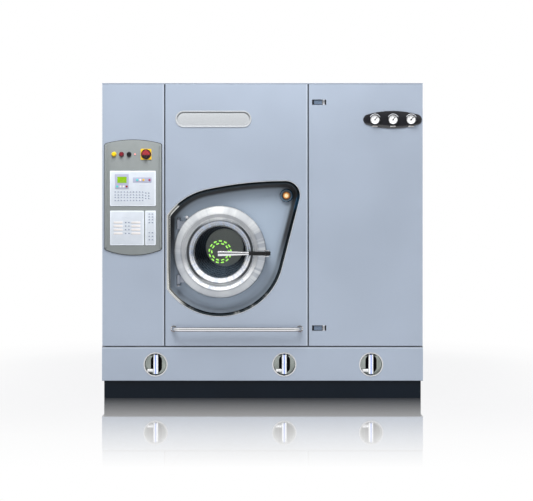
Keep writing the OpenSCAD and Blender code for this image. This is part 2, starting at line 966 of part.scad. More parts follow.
// ---- Loading door -------------------------------------------------------

// A crested shell closed by its back plate, with hinge lugs and lever lugs
module door_ring() {
    t = 6;
    crest_y = front - crest_out;
    rear_y = front + ring_back;
    mouth = funnel_r + clear;
    lug_in = grip_r + clear + 1;
    color(STEEL) {
        difference() {
            union() {
                turned(drum_x, drum_z, [
                    [ring_r, rear_y], [ring_r, rear_y - ring_edge], [ring_r - 4, rear_y - ring_edge - 4],
                    [crest_r + 4, crest_y + 4], [crest_r, crest_y], [crest_r - 5, crest_y + 1],
                    [bead_r + 3, front + 1], [bead_r, front - 1], [bead_r - 6, front - 1],
                    [bead_r - 9, front + 6], [mouth, front + 15], [mouth, front + 15 + t],
                    [bead_r - 8, front + 6 + t], [bead_r + 2, front + 1 + t],
                    [crest_r - 3, crest_y + t + 2], [crest_r, crest_y + t + 2],
                    [ring_r - t, rear_y - ring_edge + 3], [ring_r - t, rear_y - t],
                    [mouth, rear_y - t], [mouth, rear_y]
                ], 120);
                for (s = [-1, 1])
                    hinge_lug(drum_z + s * hinge_dz);
                for (s = [-1, 1])
                    bar([drum_x + ring_r - 16, lever_y - 8, lever_z + s * (lug_in + 3) - 3],
                        [lever_x + 8, rear_y - 8, lever_z + s * (lug_in + 3) + 3]);
            }
            for (s = [-1, 1])
                round_z(hinge_x, hinge_y, drum_z + s * hinge_dz - hinge_len / 2 - 1, hinge_r + clear,
                    drum_z + s * hinge_dz + hinge_len / 2 + 1);
        }
        round_z(lever_x, lever_y, lever_z - lug_in - 4, lever_pin_r, lever_z + lug_in + 4);
    }
}

// A barrel on the hinge pin with an arm into the ring
module hinge_lug(z) {
    round_z(hinge_x, hinge_y, z - hinge_len / 2, hinge_r + 5, z + hinge_len / 2);
    bar([hinge_x, hinge_y - 6, z - 20], [hinge_x + 90, hinge_y + 6, z + 20]);
}

// The funnel, and the clamp ring that holds the glass from behind
module door_funnel() {
    glass_y = front + glass_depth;
    rear_y = front + ring_back;
    color(STEEL) {
        turned(drum_x, drum_z, [
            [funnel_r, front + 14], [funnel_r - 4.5, front + 10], [funnel_r - 8, front + 12],
            [glass_r, glass_y - 3], [glass_r, glass_y - clear], [glass_r + 14, glass_y - clear],
            [glass_r + 14, rear_y], [funnel_r, rear_y]
        ], 120);
        ring_y(drum_x, drum_z, glass_r - 4, funnel_r + 9, rear_y + clear, rear_y + clear + clamp_t);
    }
}

module door_glass() {
    color([0.3, 0.35, 0.4])
        round_y(drum_x, front + glass_depth, drum_z, glass_r + 14 - clear, front + glass_depth + glass_t);
}

// A soft lip between the back of the ring and the loading collar
module door_gasket() {
    y0 = front + ring_back + clear;
    y1 = front + recess_d - 2 * clear;
    color(BLACK)
        turned(drum_x, drum_z, [
            [gasket_r - 12, y0], [gasket_r + 12, y0], [gasket_r + 12, y0 + 5],
            [gasket_r + 6, y1 - 3], [gasket_r + 2, y1], [gasket_r - 4, y1],
            [gasket_r - 7, y1 - 3], [gasket_r - 12, y0 + 5]
        ]);
}

// A tapered bar to the middle of the glass, with a core through the grip
module door_lever() {
    end_x = lever_x - lever_len;
    half_end = 16;
    half_neck = 9.5;
    bar_t = 11;
    color(STEEL)
        difference() {
            union() {
                plate_y(grip_y - bar_t / 2, grip_y + bar_t / 2) {
                    translate([end_x + half_end, lever_z])
                        circle(r = half_end);
                    polygon([
                        [end_x + half_end, lever_z - half_end], [grip_x0 - 17, lever_z - half_neck],
                        [grip_x0 - 17, lever_z + half_neck], [end_x + half_end, lever_z + half_end]
                    ]);
                }
                round_x(grip_x0 - 18, grip_y, lever_z, half_neck + 2, grip_x0 - clear);
                round_x(grip_x0 - 1, grip_y, lever_z, 7, grip_x1 + 1);
                round_x(grip_x1 + clear, grip_y, lever_z, grip_r, lever_x + 17);
                round_z(lever_x, lever_y, lever_z - grip_r, lever_barrel_r, lever_z + grip_r);
                bar([lever_x - 7, grip_y, lever_z - 9], [lever_x + 7, lever_y, lever_z + 9]);
            }
            round_z(lever_x, lever_y, lever_z - grip_r - 1, lever_pin_r + clear, lever_z + grip_r + 1);
        }
}

module lever_grip() {
    color(BLACK)
        difference() {
            union() {
                round_x(grip_x0, grip_y, lever_z, grip_r - 1, grip_x1);
                round_x(grip_x0, grip_y, lever_z, grip_r, grip_x0 + 6);
                round_x(grip_x1 - 6, grip_y, lever_z, grip_r, grip_x1);
            }
            round_x(grip_x0 - 1, grip_y, lever_z, 7 + clear, grip_x1 + 1);
        }
}

// ---- Drum and drive -----------------------------------------------------

// The mouth of the machine, from the recess floor into the tub
module loading_collar() {
    y0 = front + recess_d;
    color(STEEL)
        turned(drum_x, drum_z, [
            [collar_r, y0], [collar_flange_r, y0], [collar_flange_r, y0 + 5], [collar_r + 5, y0 + 5],
            [collar_r + 5, tub_y0 + 8], [collar_r, tub_y0 + 8]
        ], 120);
}

// A closed drum housing on two saddles, with its drain box
module tub_shell() {
    wall = 4;
    color(STEEL) {
        difference() {
            union() {
                round_y(drum_x, tub_y0, drum_z, tub_r, tub_y1, $fn = 120);
                for (y = [drum_beam_y[0], drum_beam_y[1]], s = [-1, 1])
                    bar([drum_x + s * 190 - 40, y, beam_z0 + beam_h + clear],
                        [drum_x + s * 190 + 40, y + tube_w, drum_z - tub_r + 90]);
            }
            round_y(drum_x, tub_y0 + wall, drum_z, tub_r - wall, tub_y1 - wall, $fn = 120);
            round_y(drum_x, tub_y0 - 1, drum_z, collar_r + 5 + clear, tub_y0 + wall + 1, $fn = 120);
            round_y(drum_x, tub_y1 - wall - 1, drum_z, shaft_r + 8, tub_y1 + 1);
        }
    }
}

// A flanged barrel on a pedestal, with its two bearings
module bearing_housing() {
    foot_y = drum_beam_y[2];
    bearing_r = shaft_r + 30;
    color("gray") {
        difference() {
            union() {
                round_y(drum_x, tub_y1 + clear, drum_z, 180, tub_y1 + 16);
                round_y(drum_x, tub_y1 + clear, drum_z, bearing_r + 22, housing_y1);
                bar([drum_x - 60, foot_y - 10, beam_z0 + beam_h + clear],
                    [drum_x + 60, foot_y + tube_w + 10, drum_z - bearing_r]);
            }
            round_y(drum_x, tub_y1 - 1, drum_z, bearing_r, housing_y1 + 1);
        }
        for (y = [tub_y1 + 22, housing_y1 - 32])
            ring_y(drum_x, drum_z, shaft_r + clear, bearing_r - clear, y, y + 30);
    }
}

// The perforated basket on its shaft, plain here, with lifter ribs
module drum_basket() {
    wall = 4;
    color(STEEL) {
        difference() {
            round_y(drum_x, basket_y0, drum_z, basket_r, basket_y1, $fn = 120);
            round_y(drum_x, basket_y0 + wall, drum_z, basket_r - wall, basket_y1 - wall, $fn = 120);
            round_y(drum_x, basket_y0 - 1, drum_z, mouth_r, basket_y0 + wall + 1, $fn = 120);
        }
        for (i = [0:rib_n - 1])
            translate([drum_x, 0, drum_z])
                rotate([0, rib_angle + i * 360 / rib_n, 0])
                    plate_y(basket_y0 + wall - 1, basket_y1 - wall + 1)
                        polygon([
                            [-55, 2 - basket_r], [55, 2 - basket_r],
                            [14, rib_h - basket_r], [-14, rib_h - basket_r]
                        ]);
        round_y(drum_x, basket_y1 - 1, drum_z, shaft_r, pulley_y0 + belt_w + 12);
        round_y(drum_x, basket_y1 - 1, drum_z, shaft_r + 5, tub_y1 - 6);
    }
}

// A spoked pulley on an axis along +Y, drawn at that axis
module pulley(r, hub_r, bore_r) {
    difference() {
        union() {
            ring_y(0, 0, r - 14, r, pulley_y0, pulley_y0 + belt_w);
            ring_y(0, 0, bore_r, hub_r, pulley_y0 - 6, pulley_y0 + belt_w + 6);
            ring_y(0, 0, hub_r - 1, r - 13, pulley_y0 + belt_w / 2 - 6, pulley_y0 + belt_w / 2 + 6);
        }
        for (a = [30:60:330])
            rotate([0, a, 0])
                round_y((r + hub_r) / 2, pulley_y0 - 1, 0, (r - hub_r) / 4, pulley_y0 + belt_w + 1);
    }
}

module drum_pulley() {
    color("dimgray")
        translate([drum_x, 0, drum_z])
            pulley(pulley_r, shaft_r + 32, shaft_r + clear / 2);
}

module motor_pulley() {
    color("dimgray")
        translate([motor_x, 0, motor_z]) {
            round_y(0, pulley_y0 - 2, 0, small_pulley_r, pulley_y0 + belt_w + 2);
            round_y(0, housing_y1 - 40, 0, motor_shaft_r, pulley_y0);
        }
}

module drive_motor() {
    y0 = tub_y1 + 40;
    y1 = housing_y1 + 30;
    foot_z = beam_z0 + beam_h + clear;
    color("steelblue")
        difference() {
            union() {
                round_y(motor_x, y0, motor_z, motor_r - 6, y1);
                for (i = [0:5])
                    round_y(motor_x, y0 + 30 + i * 30, motor_z, motor_r, y0 + 42 + i * 30);
                bar([motor_x - 80, drum_beam_y[2] - 20, foot_z],
                    [motor_x + 80, drum_beam_y[2] + tube_w + 20, motor_z - motor_r + 22]);
                bar([motor_x - 45, y0 + 40, motor_z + motor_r - 20],
                    [motor_x + 45, y0 + 150, motor_z + motor_r + 40]);
            }
            round_y(motor_x, housing_y1 - 42, motor_z, motor_shaft_r + clear, y1 + 1);
        }
}

// The loop round both pulleys
module belt_outline(g) {
    hull() {
        translate([drum_x, drum_z])
            circle(r = pulley_r + g, $fn = 120);
        translate([motor_x, motor_z])
            circle(r = small_pulley_r + g, $fn = 48);
    }
}

module drive_belt() {
    color(BLACK)
        plate_y(pulley_y0 + 2, pulley_y0 + belt_w - 2)
            difference() {
                belt_outline(clear + belt_t);
                belt_outline(2 * clear);
            }
}

// ---- Air circuit --------------------------------------------------------

outlet_x = drum_x + fan_r + 95;
duct_y = [front + 320, front + 780];

module drying_duct() {
    wall = 3;
    half = 215;
    color("silver") {
        difference() {
            bar([drum_x - half, duct_y[0], drum_z + tub_r - 60], [drum_x + half, duct_y[1], duct_z1]);
            bar([drum_x - half + wall, duct_y[0] + wall, drum_z + tub_r - 70],
                [drum_x + half - wall, duct_y[1] - wall, duct_z1 - wall]);
            round_y(drum_x, duct_y[0] - 1, drum_z, tub_r + clear, duct_y[1] + 1, $fn = 120);
        }
        ring_y(outlet_x, stub_z[0], 72, 75, fan_y0 + fan_w / 2 + 80, back - sheet_t - 22);
    }
}

// A round fan casing with a side outlet, and its motor on a foot
module fan_housing() {
    motor_y0 = fan_y0 + fan_w + 12;
    color("silver") {
        difference() {
            union() {
                round_y(drum_x, fan_y0, fan_z, fan_r, fan_y0 + fan_w);
                bar([drum_x - 110, fan_y0, duct_z1 + clear], [drum_x + 110, fan_y0 + fan_w, fan_z]);
                bar([drum_x, fan_y0, fan_z + 20], [outlet_x + 78, fan_y0 + fan_w, fan_z + fan_r - 10]);
                round_y(outlet_x, fan_y0 + fan_w - 10, stub_z[0], 78, fan_y0 + fan_w / 2 + 80 - clear);
            }
            round_y(drum_x, fan_y0 + fan_wall, fan_z, fan_r - fan_wall, fan_y0 + fan_w - fan_wall);
            round_y(drum_x, fan_y0 + fan_w - fan_wall - 1, fan_z, 14, fan_y0 + fan_w + 1);
        }
        difference() {
            union() {
                round_y(drum_x, motor_y0, fan_z, 70, motor_y0 + 160);
                bar([drum_x - 50, motor_y0 + 20, duct_z1 + clear], [drum_x + 50, motor_y0 + 110, fan_z - 50]);
            }
            round_y(drum_x, motor_y0 - 1, fan_z, 10 + clear, motor_y0 + 42);
        }
    }
}

module fan_impeller() {
    y0 = fan_y0 + 20;
    color("silver")
        translate([drum_x, 0, fan_z]) {
            round_y(0, y0 + 92, 0, fan_r - 22, y0 + 96);
            round_y(0, y0 + 40, 0, 30, y0 + 93);
            round_y(0, y0 + 90, 0, 10, fan_y0 + fan_w + 50);
            for (a = [0:36:324])
                rotate([0, a, 0])
                    bar([-2, y0, fan_r - 70], [2, y0 + 93, fan_r - 24]);
        }
}

// ---- Right bay ----------------------------------------------------------

bay_x0 = mid_x1 + tube_w / 2 + 1;
bay_x1 = in_x1 - 2;
bay_x = (mid_x1 + tube_w + in_x1 - tube_w) / 2;
skid_h = 30;
skid_z1 = beam_z0 + skid_h;

// A bar across the bay that a unit stands on
module skid(y) {
    bar([bay_x0, y, beam_z0], [bay_x1, y + tube_w, skid_z1]);
}

// A shell turned on an upright axis, from a profile of [radius, z]
module turned_up(x, y, profile) {
    translate([x, y, 0])
        rotate_extrude()
            polygon(profile);
}

still_r = 225;
still_z = skid_z1 + still_r + 15;

module still_vessel() {
    y0 = front + 150;
    y1 = front + 690;
    color("silver") {
        difference() {
            union() {
                round_y(bay_x, y0, still_z, still_r, y1);
                round_y(bay_x, y0, still_z, still_r + 18, y0 + 14);
                for (y = [front + 220, front + 600]) {
                    skid(y);
                    bar([bay_x - 130, y, skid_z1 - 1], [bay_x + 130, y + tube_w, still_z - still_r + 60]);
                }
            }
            round_y(bay_x, y0 - 1, still_z, still_r - 5, y1 - 5);
        }
        round_y(bay_x, y0 - 16, still_z, still_r + 18, y0 - clear);
        round_y(bay_x, y0 - 40, still_z, 34, y0 - 15);
        for (a = [0:45:315])
            round_y(bay_x + (still_r + 5) * cos(a), y0 - 28, still_z + (still_r + 5) * sin(a), 9, y0 - 15);
    }
}

filter_x = [bay_x - 160, bay_x + 165];
filter_y = front + 980;
filter_r = 118;
filter_z1 = 900;

module filter_vessels() {
    color("steelblue") {
        skid(filter_y - tube_w / 2);
        for (x = filter_x)
            turned_up(x, filter_y, [
                [0, skid_z1 - 1], [70, skid_z1 - 1], [70, skid_z1 + 30], [filter_r, skid_z1 + 55],
                [filter_r, filter_z1 - 30], [filter_r + 14, filter_z1 - 30], [filter_r + 14, filter_z1],
                [filter_r - 8, filter_z1 + 26], [60, filter_z1 + 46], [0, filter_z1 + 52]
            ]);
    }
}

pump_y = front + 1190;
pump_z = skid_z1 + 100;
riser_z = filter_z1 + 130;
pipe_r = 16;

module solvent_pump() {
    color("slategray") {
        skid(pump_y - tube_w / 2);
        round_x(bay_x - 60, pump_y, pump_z, 70, bay_x + 130);
        round_x(bay_x + 128, pump_y, pump_z, 88, filter_x[1] + 30);
        bar([bay_x - 40, pump_y - tube_w / 2, skid_z1 - 1], [bay_x + 110, pump_y + tube_w / 2, pump_z]);
    }
}

// A shelf with the compressor and the condenser
module cooling_unit() {
    z0 = shelf_z + tube_w + clear;
    z1 = z0 + 5;
    color("darkslategray") {
        bar([bay_x0, front + 200, z0], [bay_x1, front + 900, z1]);
        turned_up(bay_x - 190, front + 520, [
            [0, z1 - 1], [120, z1 - 1], [120, z1 + 240], [108, z1 + 275], [70, z1 + 300], [0, z1 + 308]
        ]);
        bar([bay_x - 20, front + 250, z1 - 1], [bay_x + 320, front + 800, z1 + 340]);
        ring_y(bay_x + 150, z1 + 170, 120, 135, front + 220, front + 251);
    }
}

// Pump to the right filter, filter to filter, filter to tub, and cooling water
module solvent_pipes() {
    link_z = 700;
    tub_x = drum_x + 416;
    color("darkkhaki") {
        round_z(filter_x[1], pump_y, pump_z + 88 + clear, pipe_r, riser_z);
        round_y(filter_x[1], filter_y, riser_z, pipe_r, pump_y);
        round_z(filter_x[1], filter_y, filter_z1 + 52 + clear, pipe_r, riser_z);
        for (y = [pump_y, filter_y])
            translate([filter_x[1], y, riser_z])
                sphere(r = pipe_r + 3);
        round_x(filter_x[0] + filter_r + clear, filter_y, link_z, pipe_r, filter_x[1] - filter_r - clear);
        round_x(tub_x, filter_y, link_z, pipe_r, filter_x[0] - filter_r - clear);
        translate([tub_x, filter_y, link_z])
            sphere(r = pipe_r + 3);
        round_y(tub_x, tub_y1 + clear, link_z, pipe_r, filter_y);
        for (i = [1, 2])
            round_y(stub_x[i], front + 800 + clear, stub_z[i], 12, back - sheet_t - 22);
    }
}

// ---- Electrics and connections ------------------------------------------

// A tray between two posts with its switchgear in rows
module electrical_gear() {
    x0 = in_x0 + tube_w + clear;
    x1 = mid_x0 - clear;
    y0 = in_y0 + 4;
    y1 = front + 150;
    z0 = 420;
    z1 = 1860;
    color("lightgray")
        difference() {
            bar([x0, y0, z0], [x1, y1, z1]);
            bar([x0 + 2, y0 - 1, z0 + 2], [x1 - 2, y1 - 2, z1 - 2]);
        }
    color("dimgray") {
        for (row = [0:4])
            bar([x0 + 30, y1 - 12, 760 + row * 190], [x1 - 30, y1 - 1, 772 + row * 190]);
        for (row = [0:4], i = [0:3])
            bar([x0 + 36 + i * 62, y1 - 75, 728 + row * 190], [x0 + 88 + i * 62, y1 - 11, 806 + row * 190]);
    }
}

// Pipe ends and the cable gland, each with its flange on the rear face
module service_connections() {
    inner_y = back - sheet_t - 20;
    color(STEEL) {
        for (i = [0:5]) {
            r = stub_r[i];
            wall = i == 0 ? 3 : 2.5;
            difference() {
                union() {
                    round_y(stub_x[i], inner_y, stub_z[i], r, back + pipe_out);
                    round_y(stub_x[i], back + clear, stub_z[i], r + 14, back + 5);
                }
                round_y(stub_x[i], inner_y - 1, stub_z[i], r - wall, back + pipe_out + 1);
            }
        }
        difference() {
            union() {
                round_y(gland_x, inner_y, gland_z, 16, back + 34);
                round_y(gland_x, back + clear, gland_z, 24, back + 10);
            }
            round_y(gland_x, inner_y - 1, gland_z, 10, back + 35);
        }
    }
}

base_frame();
spill_tray();
solvent_tanks();
base_front_panel();
sight_ports();
level_tubes();
body_frame();
left_side_panel();
right_side_panel();
top_panel();
rear_panel();
front_panel();
recess_pan();
recess_trim();
name_plate();
guard_rail();
recess_lamp();
hinge_pins();
tub_shell();
loading_collar();
bearing_housing();
drive_motor();
drive_belt();
drying_duct();
fan_housing();
still_vessel();
filter_vessels();
solvent_pump();
cooling_unit();
solvent_pipes();
electrical_gear();
service_connections();
control_door();
control_bezel();
membrane_panels();
button_collars();
switch_plate();
switch_knob();
yellow_button();
red_button();
black_button();
service_door();
gauge_panel();
gauge_bodies();
left_needle();
middle_needle();
right_needle();
latch_cups();
upper_latch();
lower_latch();
door_ring();
door_funnel();
door_glass();
door_gasket();
door_lever();
lever_grip();
drum_basket();
drum_pulley();
motor_pulley();
fan_impeller();
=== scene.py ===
import json
import math

import bmesh
import bpy
import numpy as np
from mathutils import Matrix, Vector

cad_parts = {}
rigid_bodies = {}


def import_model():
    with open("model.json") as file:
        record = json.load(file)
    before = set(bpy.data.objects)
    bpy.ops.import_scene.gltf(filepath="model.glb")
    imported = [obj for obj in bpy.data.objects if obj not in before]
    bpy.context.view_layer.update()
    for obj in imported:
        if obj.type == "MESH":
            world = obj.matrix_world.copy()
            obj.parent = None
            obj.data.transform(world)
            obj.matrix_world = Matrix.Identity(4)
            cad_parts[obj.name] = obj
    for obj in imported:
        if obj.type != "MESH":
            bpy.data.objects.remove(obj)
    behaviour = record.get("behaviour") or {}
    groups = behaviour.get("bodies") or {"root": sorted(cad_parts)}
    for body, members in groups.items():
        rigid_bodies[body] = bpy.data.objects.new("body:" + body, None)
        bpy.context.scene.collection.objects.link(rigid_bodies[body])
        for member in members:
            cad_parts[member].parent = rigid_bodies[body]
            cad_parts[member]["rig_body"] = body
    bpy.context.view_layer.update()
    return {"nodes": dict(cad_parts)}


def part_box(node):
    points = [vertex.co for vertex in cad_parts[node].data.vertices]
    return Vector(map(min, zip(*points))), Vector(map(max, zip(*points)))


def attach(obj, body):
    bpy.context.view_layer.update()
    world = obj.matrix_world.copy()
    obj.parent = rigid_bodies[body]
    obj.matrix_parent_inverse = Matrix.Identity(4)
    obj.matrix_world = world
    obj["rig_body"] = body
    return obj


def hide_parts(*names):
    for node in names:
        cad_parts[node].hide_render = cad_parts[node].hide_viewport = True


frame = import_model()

# Looks of a dry cleaning machine: a blue-grey cabinet with a turned loading
# door in a polished recess, a grey control panel, gauges, a guard rail and
# sight ports.  Metres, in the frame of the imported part: +X right, +Y back, +Z up.
# Colours are red, green and blue in linear light, unless srgb() makes them.

MM = 0.001

# ---- Places, taken from the frame ------------------------------------------

FRONT = float(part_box("front_panel")[0][1])
DRUM_X, _, DRUM_Z = (float((low + high) / 2) for low, high in zip(*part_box("door_funnel")))
AXIS = (DRUM_X, DRUM_Z)
PAN_FRONT, PAN_BACK = (float(corner[1]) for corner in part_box("recess_pan"))


# ---- Camera ----------------------------------------------------------------

# The photograph looks straight at the front from about 7 m
VIEW_X = 0.025
VIEW_Z = 1.19
VIEW_DISTANCE = 7.0
FRAME_WIDTH = 3.321
FRAME_CENTRE_Z = 0.923


def make_camera():
    """A level camera whose image plane is parallel to the front."""
    data = bpy.data.cameras.new("camera")
    data.sensor_width = 36.0
    data.lens = data.sensor_width * VIEW_DISTANCE / FRAME_WIDTH
    data.shift_y = (FRAME_CENTRE_Z - VIEW_Z) / FRAME_WIDTH
    data.clip_end = 60.0
    camera = bpy.data.objects.new("camera", data)
    camera.location = (VIEW_X, FRONT - VIEW_DISTANCE, VIEW_Z)
    camera.rotation_euler = (math.pi / 2, 0.0, 0.0)
    bpy.context.collection.objects.link(camera)
    bpy.context.scene.camera = camera


# ---- Mesh tools ------------------------------------------------------------

def show(name, mesh, smooth=True):
    """Welds a mesh, turns its faces outwards and puts it in the scene."""
    work = bmesh.new()
    work.from_mesh(mesh)
    bmesh.ops.remove_doubles(work, verts=work.verts, dist=5e-6)
    bmesh.ops.recalc_face_normals(work, faces=work.faces)
    work.to_mesh(mesh)
    work.free()
    obj = bpy.data.objects.new(name, mesh)
    bpy.context.collection.objects.link(obj)
    if smooth:
        mesh.shade_smooth()
        mesh.set_sharp_from_angle(angle=math.radians(38))
    return obj


def make_mesh(name, verts, faces, smooth=True, uv=None):
    """An object at the origin with the given points and faces; uv holds a pair for each corner."""
    mesh = bpy.data.meshes.new(name)
    mesh.from_pydata([tuple(v) for v in np.asarray(verts, float)], [], [tuple(map(int, f)) for f in faces])
    if uv is not None:
        layer = mesh.uv_layers.new(name="grain")
        layer.data.foreach_set("uv", np.asarray(uv, float).ravel())
    return show(name, mesh, smooth)


def grid_faces(rows, cols, closed=True):
    """Quads of a rows by cols grid of points; where closed, the last column meets the first."""
    wide = cols if closed else cols - 1
    row, col = np.divmod(np.arange((rows - 1) * wide), wide)
    here, right = row * cols + col, row * cols + (col + 1) % cols
    return np.stack([here, right, right + cols, here + cols], axis=1)


def grid_uv(across, along):
    """The UV of a grid's quads, from a value at each column's edge and a value at each row."""
    cols = len(across) - 1
    i, j = np.divmod(np.arange((len(along) - 1) * cols), cols)
    return np.stack([np.stack([across[j + dj], along[i + di]], axis=1)
                     for di, dj in ((0, 0), (0, 1), (1, 1), (1, 0))], axis=1)


def upright(outline, y):
    """Points (x, z) of the front view, put at depth y."""
    return np.column_stack([outline[:, 0], np.full(len(outline), y), outline[:, 1]])


def skin(rings, cap_front=True, cap_back=False, closed=True):
    """Points and faces of rings joined each to the next, with a flat face over the ends asked for."""
    cols = len(rings[0])
    faces = grid_faces(len(rings), cols, closed).tolist()
    if cap_front:
        faces.append([(len(rings) - 1) * cols + j for j in range(cols)])
    if cap_back:
        faces.append(list(range(cols))[::-1])
    return np.concatenate(rings), faces


def gathered(name, skins, smooth=True):
    """Many skins as one mesh."""
    starts = np.cumsum([0] + [len(verts) for verts, _ in skins])
    faces = [[i + start for i in face] for (_, own), start in zip(skins, starts) for face in own]
    return make_mesh(name, np.concatenate([verts for verts, _ in skins]), faces, smooth)


def curve(start, corner, end, t):
    """A quadratic curve that leaves start and meets end along their lines to the corner."""
    return (1 - t) ** 2 * start + 2 * t * (1 - t) * corner + t ** 2 * end


def soften(points, radius):
    """Rounds each inner corner of a polyline: a quadratic curve from radius before it to radius after it."""
    p = np.asarray(points, float)
    out = [p[0]]
    t = np.linspace(0.0, 1.0, 5)[:, None]
    for before, corner, after in zip(p[:-2], p[1:-1], p[2:]):
        a, b = before - corner, after - corner
        la, lb = np.linalg.norm(a), np.linalg.norm(b)
        r = min(radius, 0.45 * la, 0.45 * lb)
        out.extend(curve(corner + a / la * r, corner, corner + b / lb * r, t))
    out.append(p[-1])
    return np.array(out)


def turned(name, profile, centre, steps=160, radius=1.2, grain=False):
    """A profile of (radius, depth behind the front) in mm, softened and turned about an axis along Y.

    With grain, the UV is the way round and the way along the profile, in metres."""
    p = (soften(profile, radius) if radius else np.asarray(profile, float)) * MM
    a = np.linspace(0.0, 2 * math.pi, steps, endpoint=False)
    r, y = p[:, :1], p[:, 1:] + FRONT
    verts = np.stack([centre[0] + r * np.cos(a), y + 0 * a, centre[1] + r * np.sin(a)], axis=2)
    uv = None
    if grain:
        way = np.concatenate([[0.0], np.cumsum(np.linalg.norm(np.diff(p, axis=0), axis=1))])
        uv = grid_uv(np.arange(steps + 1) * p[:, 0].max() * 2 * math.pi / steps, way)
    return make_mesh(name, verts.reshape(-1, 3), grid_faces(len(p), steps), uv=uv)


def swept(name, outline, profile, cap_front=True, cap_back=False):
    """A profile of (inset, y) in metres carried round an outline; outline(g) gives the points grown by g."""
    return make_mesh(name, *skin([upright(outline(-inset), y) for inset, y in profile], cap_front, cap_back))


def arc(cx, cz, r, a0, a1, steps):
    """Points on an arc in the front view, from angle a0 to a1 in degrees."""
    a = np.radians(np.linspace(a0, a1, steps + 1))
    return np.column_stack([cx + r * np.cos(a), cz + r * np.sin(a)])


def rounded_box(cx, cz, w, h, r, steps=6):
    """The outline of a box with round corners, as a function of how far it grows."""
    def outline(g):
        rg = max(r + g, 1e-5)
        x, z = w / 2 + g - rg, h / 2 + g - rg
        corners = ((x, -z), (x, z), (-x, z), (-x, -z))
        return np.concatenate([arc(cx + dx, cz + dz, rg, 90 * k - 90, 90 * k, steps)
                               for k, (dx, dz) in enumerate(corners)])
    return outline


def round_edge(y_front, edge, steps):
    """The profile of a quarter-round front edge."""
    return [(edge * (1 - math.cos(v)), y_front + edge * (1 - math.sin(v)))
            for v in np.linspace(0.0, math.pi / 2, steps)]


def slab(name, outline, y_back, y_front, edge, both=False):
    """A plate from y_back forward to y_front with a quarter-round front edge, and rear edge if both."""
    rim = round_edge(y_front, edge, 4)
    rear = [(g, y_back + y_front - y) for g, y in rim][::-1] if both else [(0.0, y_back)]
    return swept(name, outline, rear + rim, cap_back=True)


def tiles(name, centres, w, h, r, y_back, y_front, edge):
    """Many equal rounded plates as one mesh, one at each centre (x, z)."""
    base = rounded_box(0.0, 0.0, w, h, r, 3)
    verts, faces = skin([upright(base(-g), y) for g, y in [(0.0, y_back)] + round_edge(y_front, edge, 3)])
    return gathered(name, [(verts + np.array([x, 0.0, z]), faces) for x, z in centres])


def bar(name, outline, y0, y1, closed=True):
    """A straight bar along Y with a section of points (x, z), closed or open along its last side."""
    return make_mesh(name, *skin([upright(outline, y) for y in (y0, y1)], cap_back=True, closed=closed))


def tube(name, path, radius, sides=28):
    """A round tube along a path of points, with a ring square to the path at each; closed by flat ends."""
    p = np.asarray(path, float)
    along = np.gradient(p, axis=0)
    along /= np.linalg.norm(along, axis=1)[:, None]
    up = np.array([0.0, 0.0, 1.0]) if abs(along[:, 2]).max() < 0.9 else np.array([0.0, 1.0, 0.0])
    side = np.cross(along, up)
    side /= np.linalg.norm(side, axis=1)[:, None]
    lift = np.cross(side, along)
    a = np.linspace(0.0, 2 * math.pi, sides, endpoint=False)[:, None]
    rad = np.broadcast_to(np.asarray(radius, float), (len(p),))[:, None, None]
    ring = np.cos(a) * side[:, None, :] + np.sin(a) * lift[:, None, :]
    return make_mesh(name, *skin(list(p[:, None, :] + rad * ring), cap_back=True))


def rod(name, a, b, radius, edge=0.0008, sides=32):
    """A round bar from a to b whose ends are chamfered by edge."""
    a, b = np.asarray(a, float), np.asarray(b, float)
    step = (b - a) / np.linalg.norm(b - a) * edge
    return tube(name, [a, a + step, b - step, b], [radius - edge, radius, radius, radius - edge], sides)


def lofted(name, stations, power):
    """A bar along X: a superellipse at each station of (x, y, z, half depth, half height)."""
    a = np.linspace(0.0, 2 * math.pi, 40, endpoint=False)
    u, v = (np.sign(c) * np.abs(c) ** (2 / power) for c in (np.cos(a), np.sin(a)))
    rings = [np.column_stack([x + 0 * a, y + half_y * u, z + half_z * v])
             for x, y, z, half_y, half_z in stations]
    return make_mesh(name, *skin(rings, cap_back=True))


def joined(name, *pieces):
    """Several pieces as one object."""
    work = bmesh.new()
    for piece in pieces:
        work.from_mesh(piece.data)
    mesh = bpy.data.meshes.new(name)
    work.to_mesh(mesh)
    work.free()
    for piece in pieces:
        bpy.data.objects.remove(piece)
    return show(name, mesh)


def clean_copy(node, bevel=0.0):
    """A welded copy of a CAD node: flat triangles joined, edges rounded and curves smooth."""
    work = bmesh.new()
    work.from_mesh(frame["nodes"][node].data)
    bmesh.ops.remove_doubles(work, verts=work.verts, dist=2e-5)
    bmesh.ops.dissolve_limit(work, angle_limit=math.radians(0.6), verts=work.verts, edges=work.edges)
    bmesh.ops.recalc_face_normals(work, faces=work.faces)
    mesh = bpy.data.meshes.new(node + "_look")
    work.to_mesh(mesh)
    work.free()
    obj = bpy.data.objects.new(node + "_look", mesh)
    bpy.context.collection.objects.link(obj)
    mesh.shade_smooth()
    mesh.set_sharp_from_angle(angle=math.radians(32))
    if bevel:
        mod = obj.modifiers.new("edge", "BEVEL")
        mod.width = bevel
        mod.segments = 2
        mod.limit_method = "ANGLE"
        mod.angle_limit = math.radians(40)
        mod.harden_normals = True
    return obj


def finish_piece(obj, material, body, slot, *nodes):
    """Gives a piece its material and the body it moves with, and hides the CAD nodes it stands for; its slot
    is not used.
    """
    obj.data.materials.clear()
    obj.data.materials.append(material)
    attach(obj, body)
    if nodes:
        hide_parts(*nodes)
    return obj


# ---- Material tools --------------------------------------------------------

def srgb(red, green, blue):
    """A colour seen as 0 to 255 in a picture, as linear light."""
    c = np.array([red, green, blue]) / 255.0
    return tuple(float(v) for v in np.where(c <= 0.04045, c / 12.92, ((c + 0.055) / 1.055) ** 2.4))


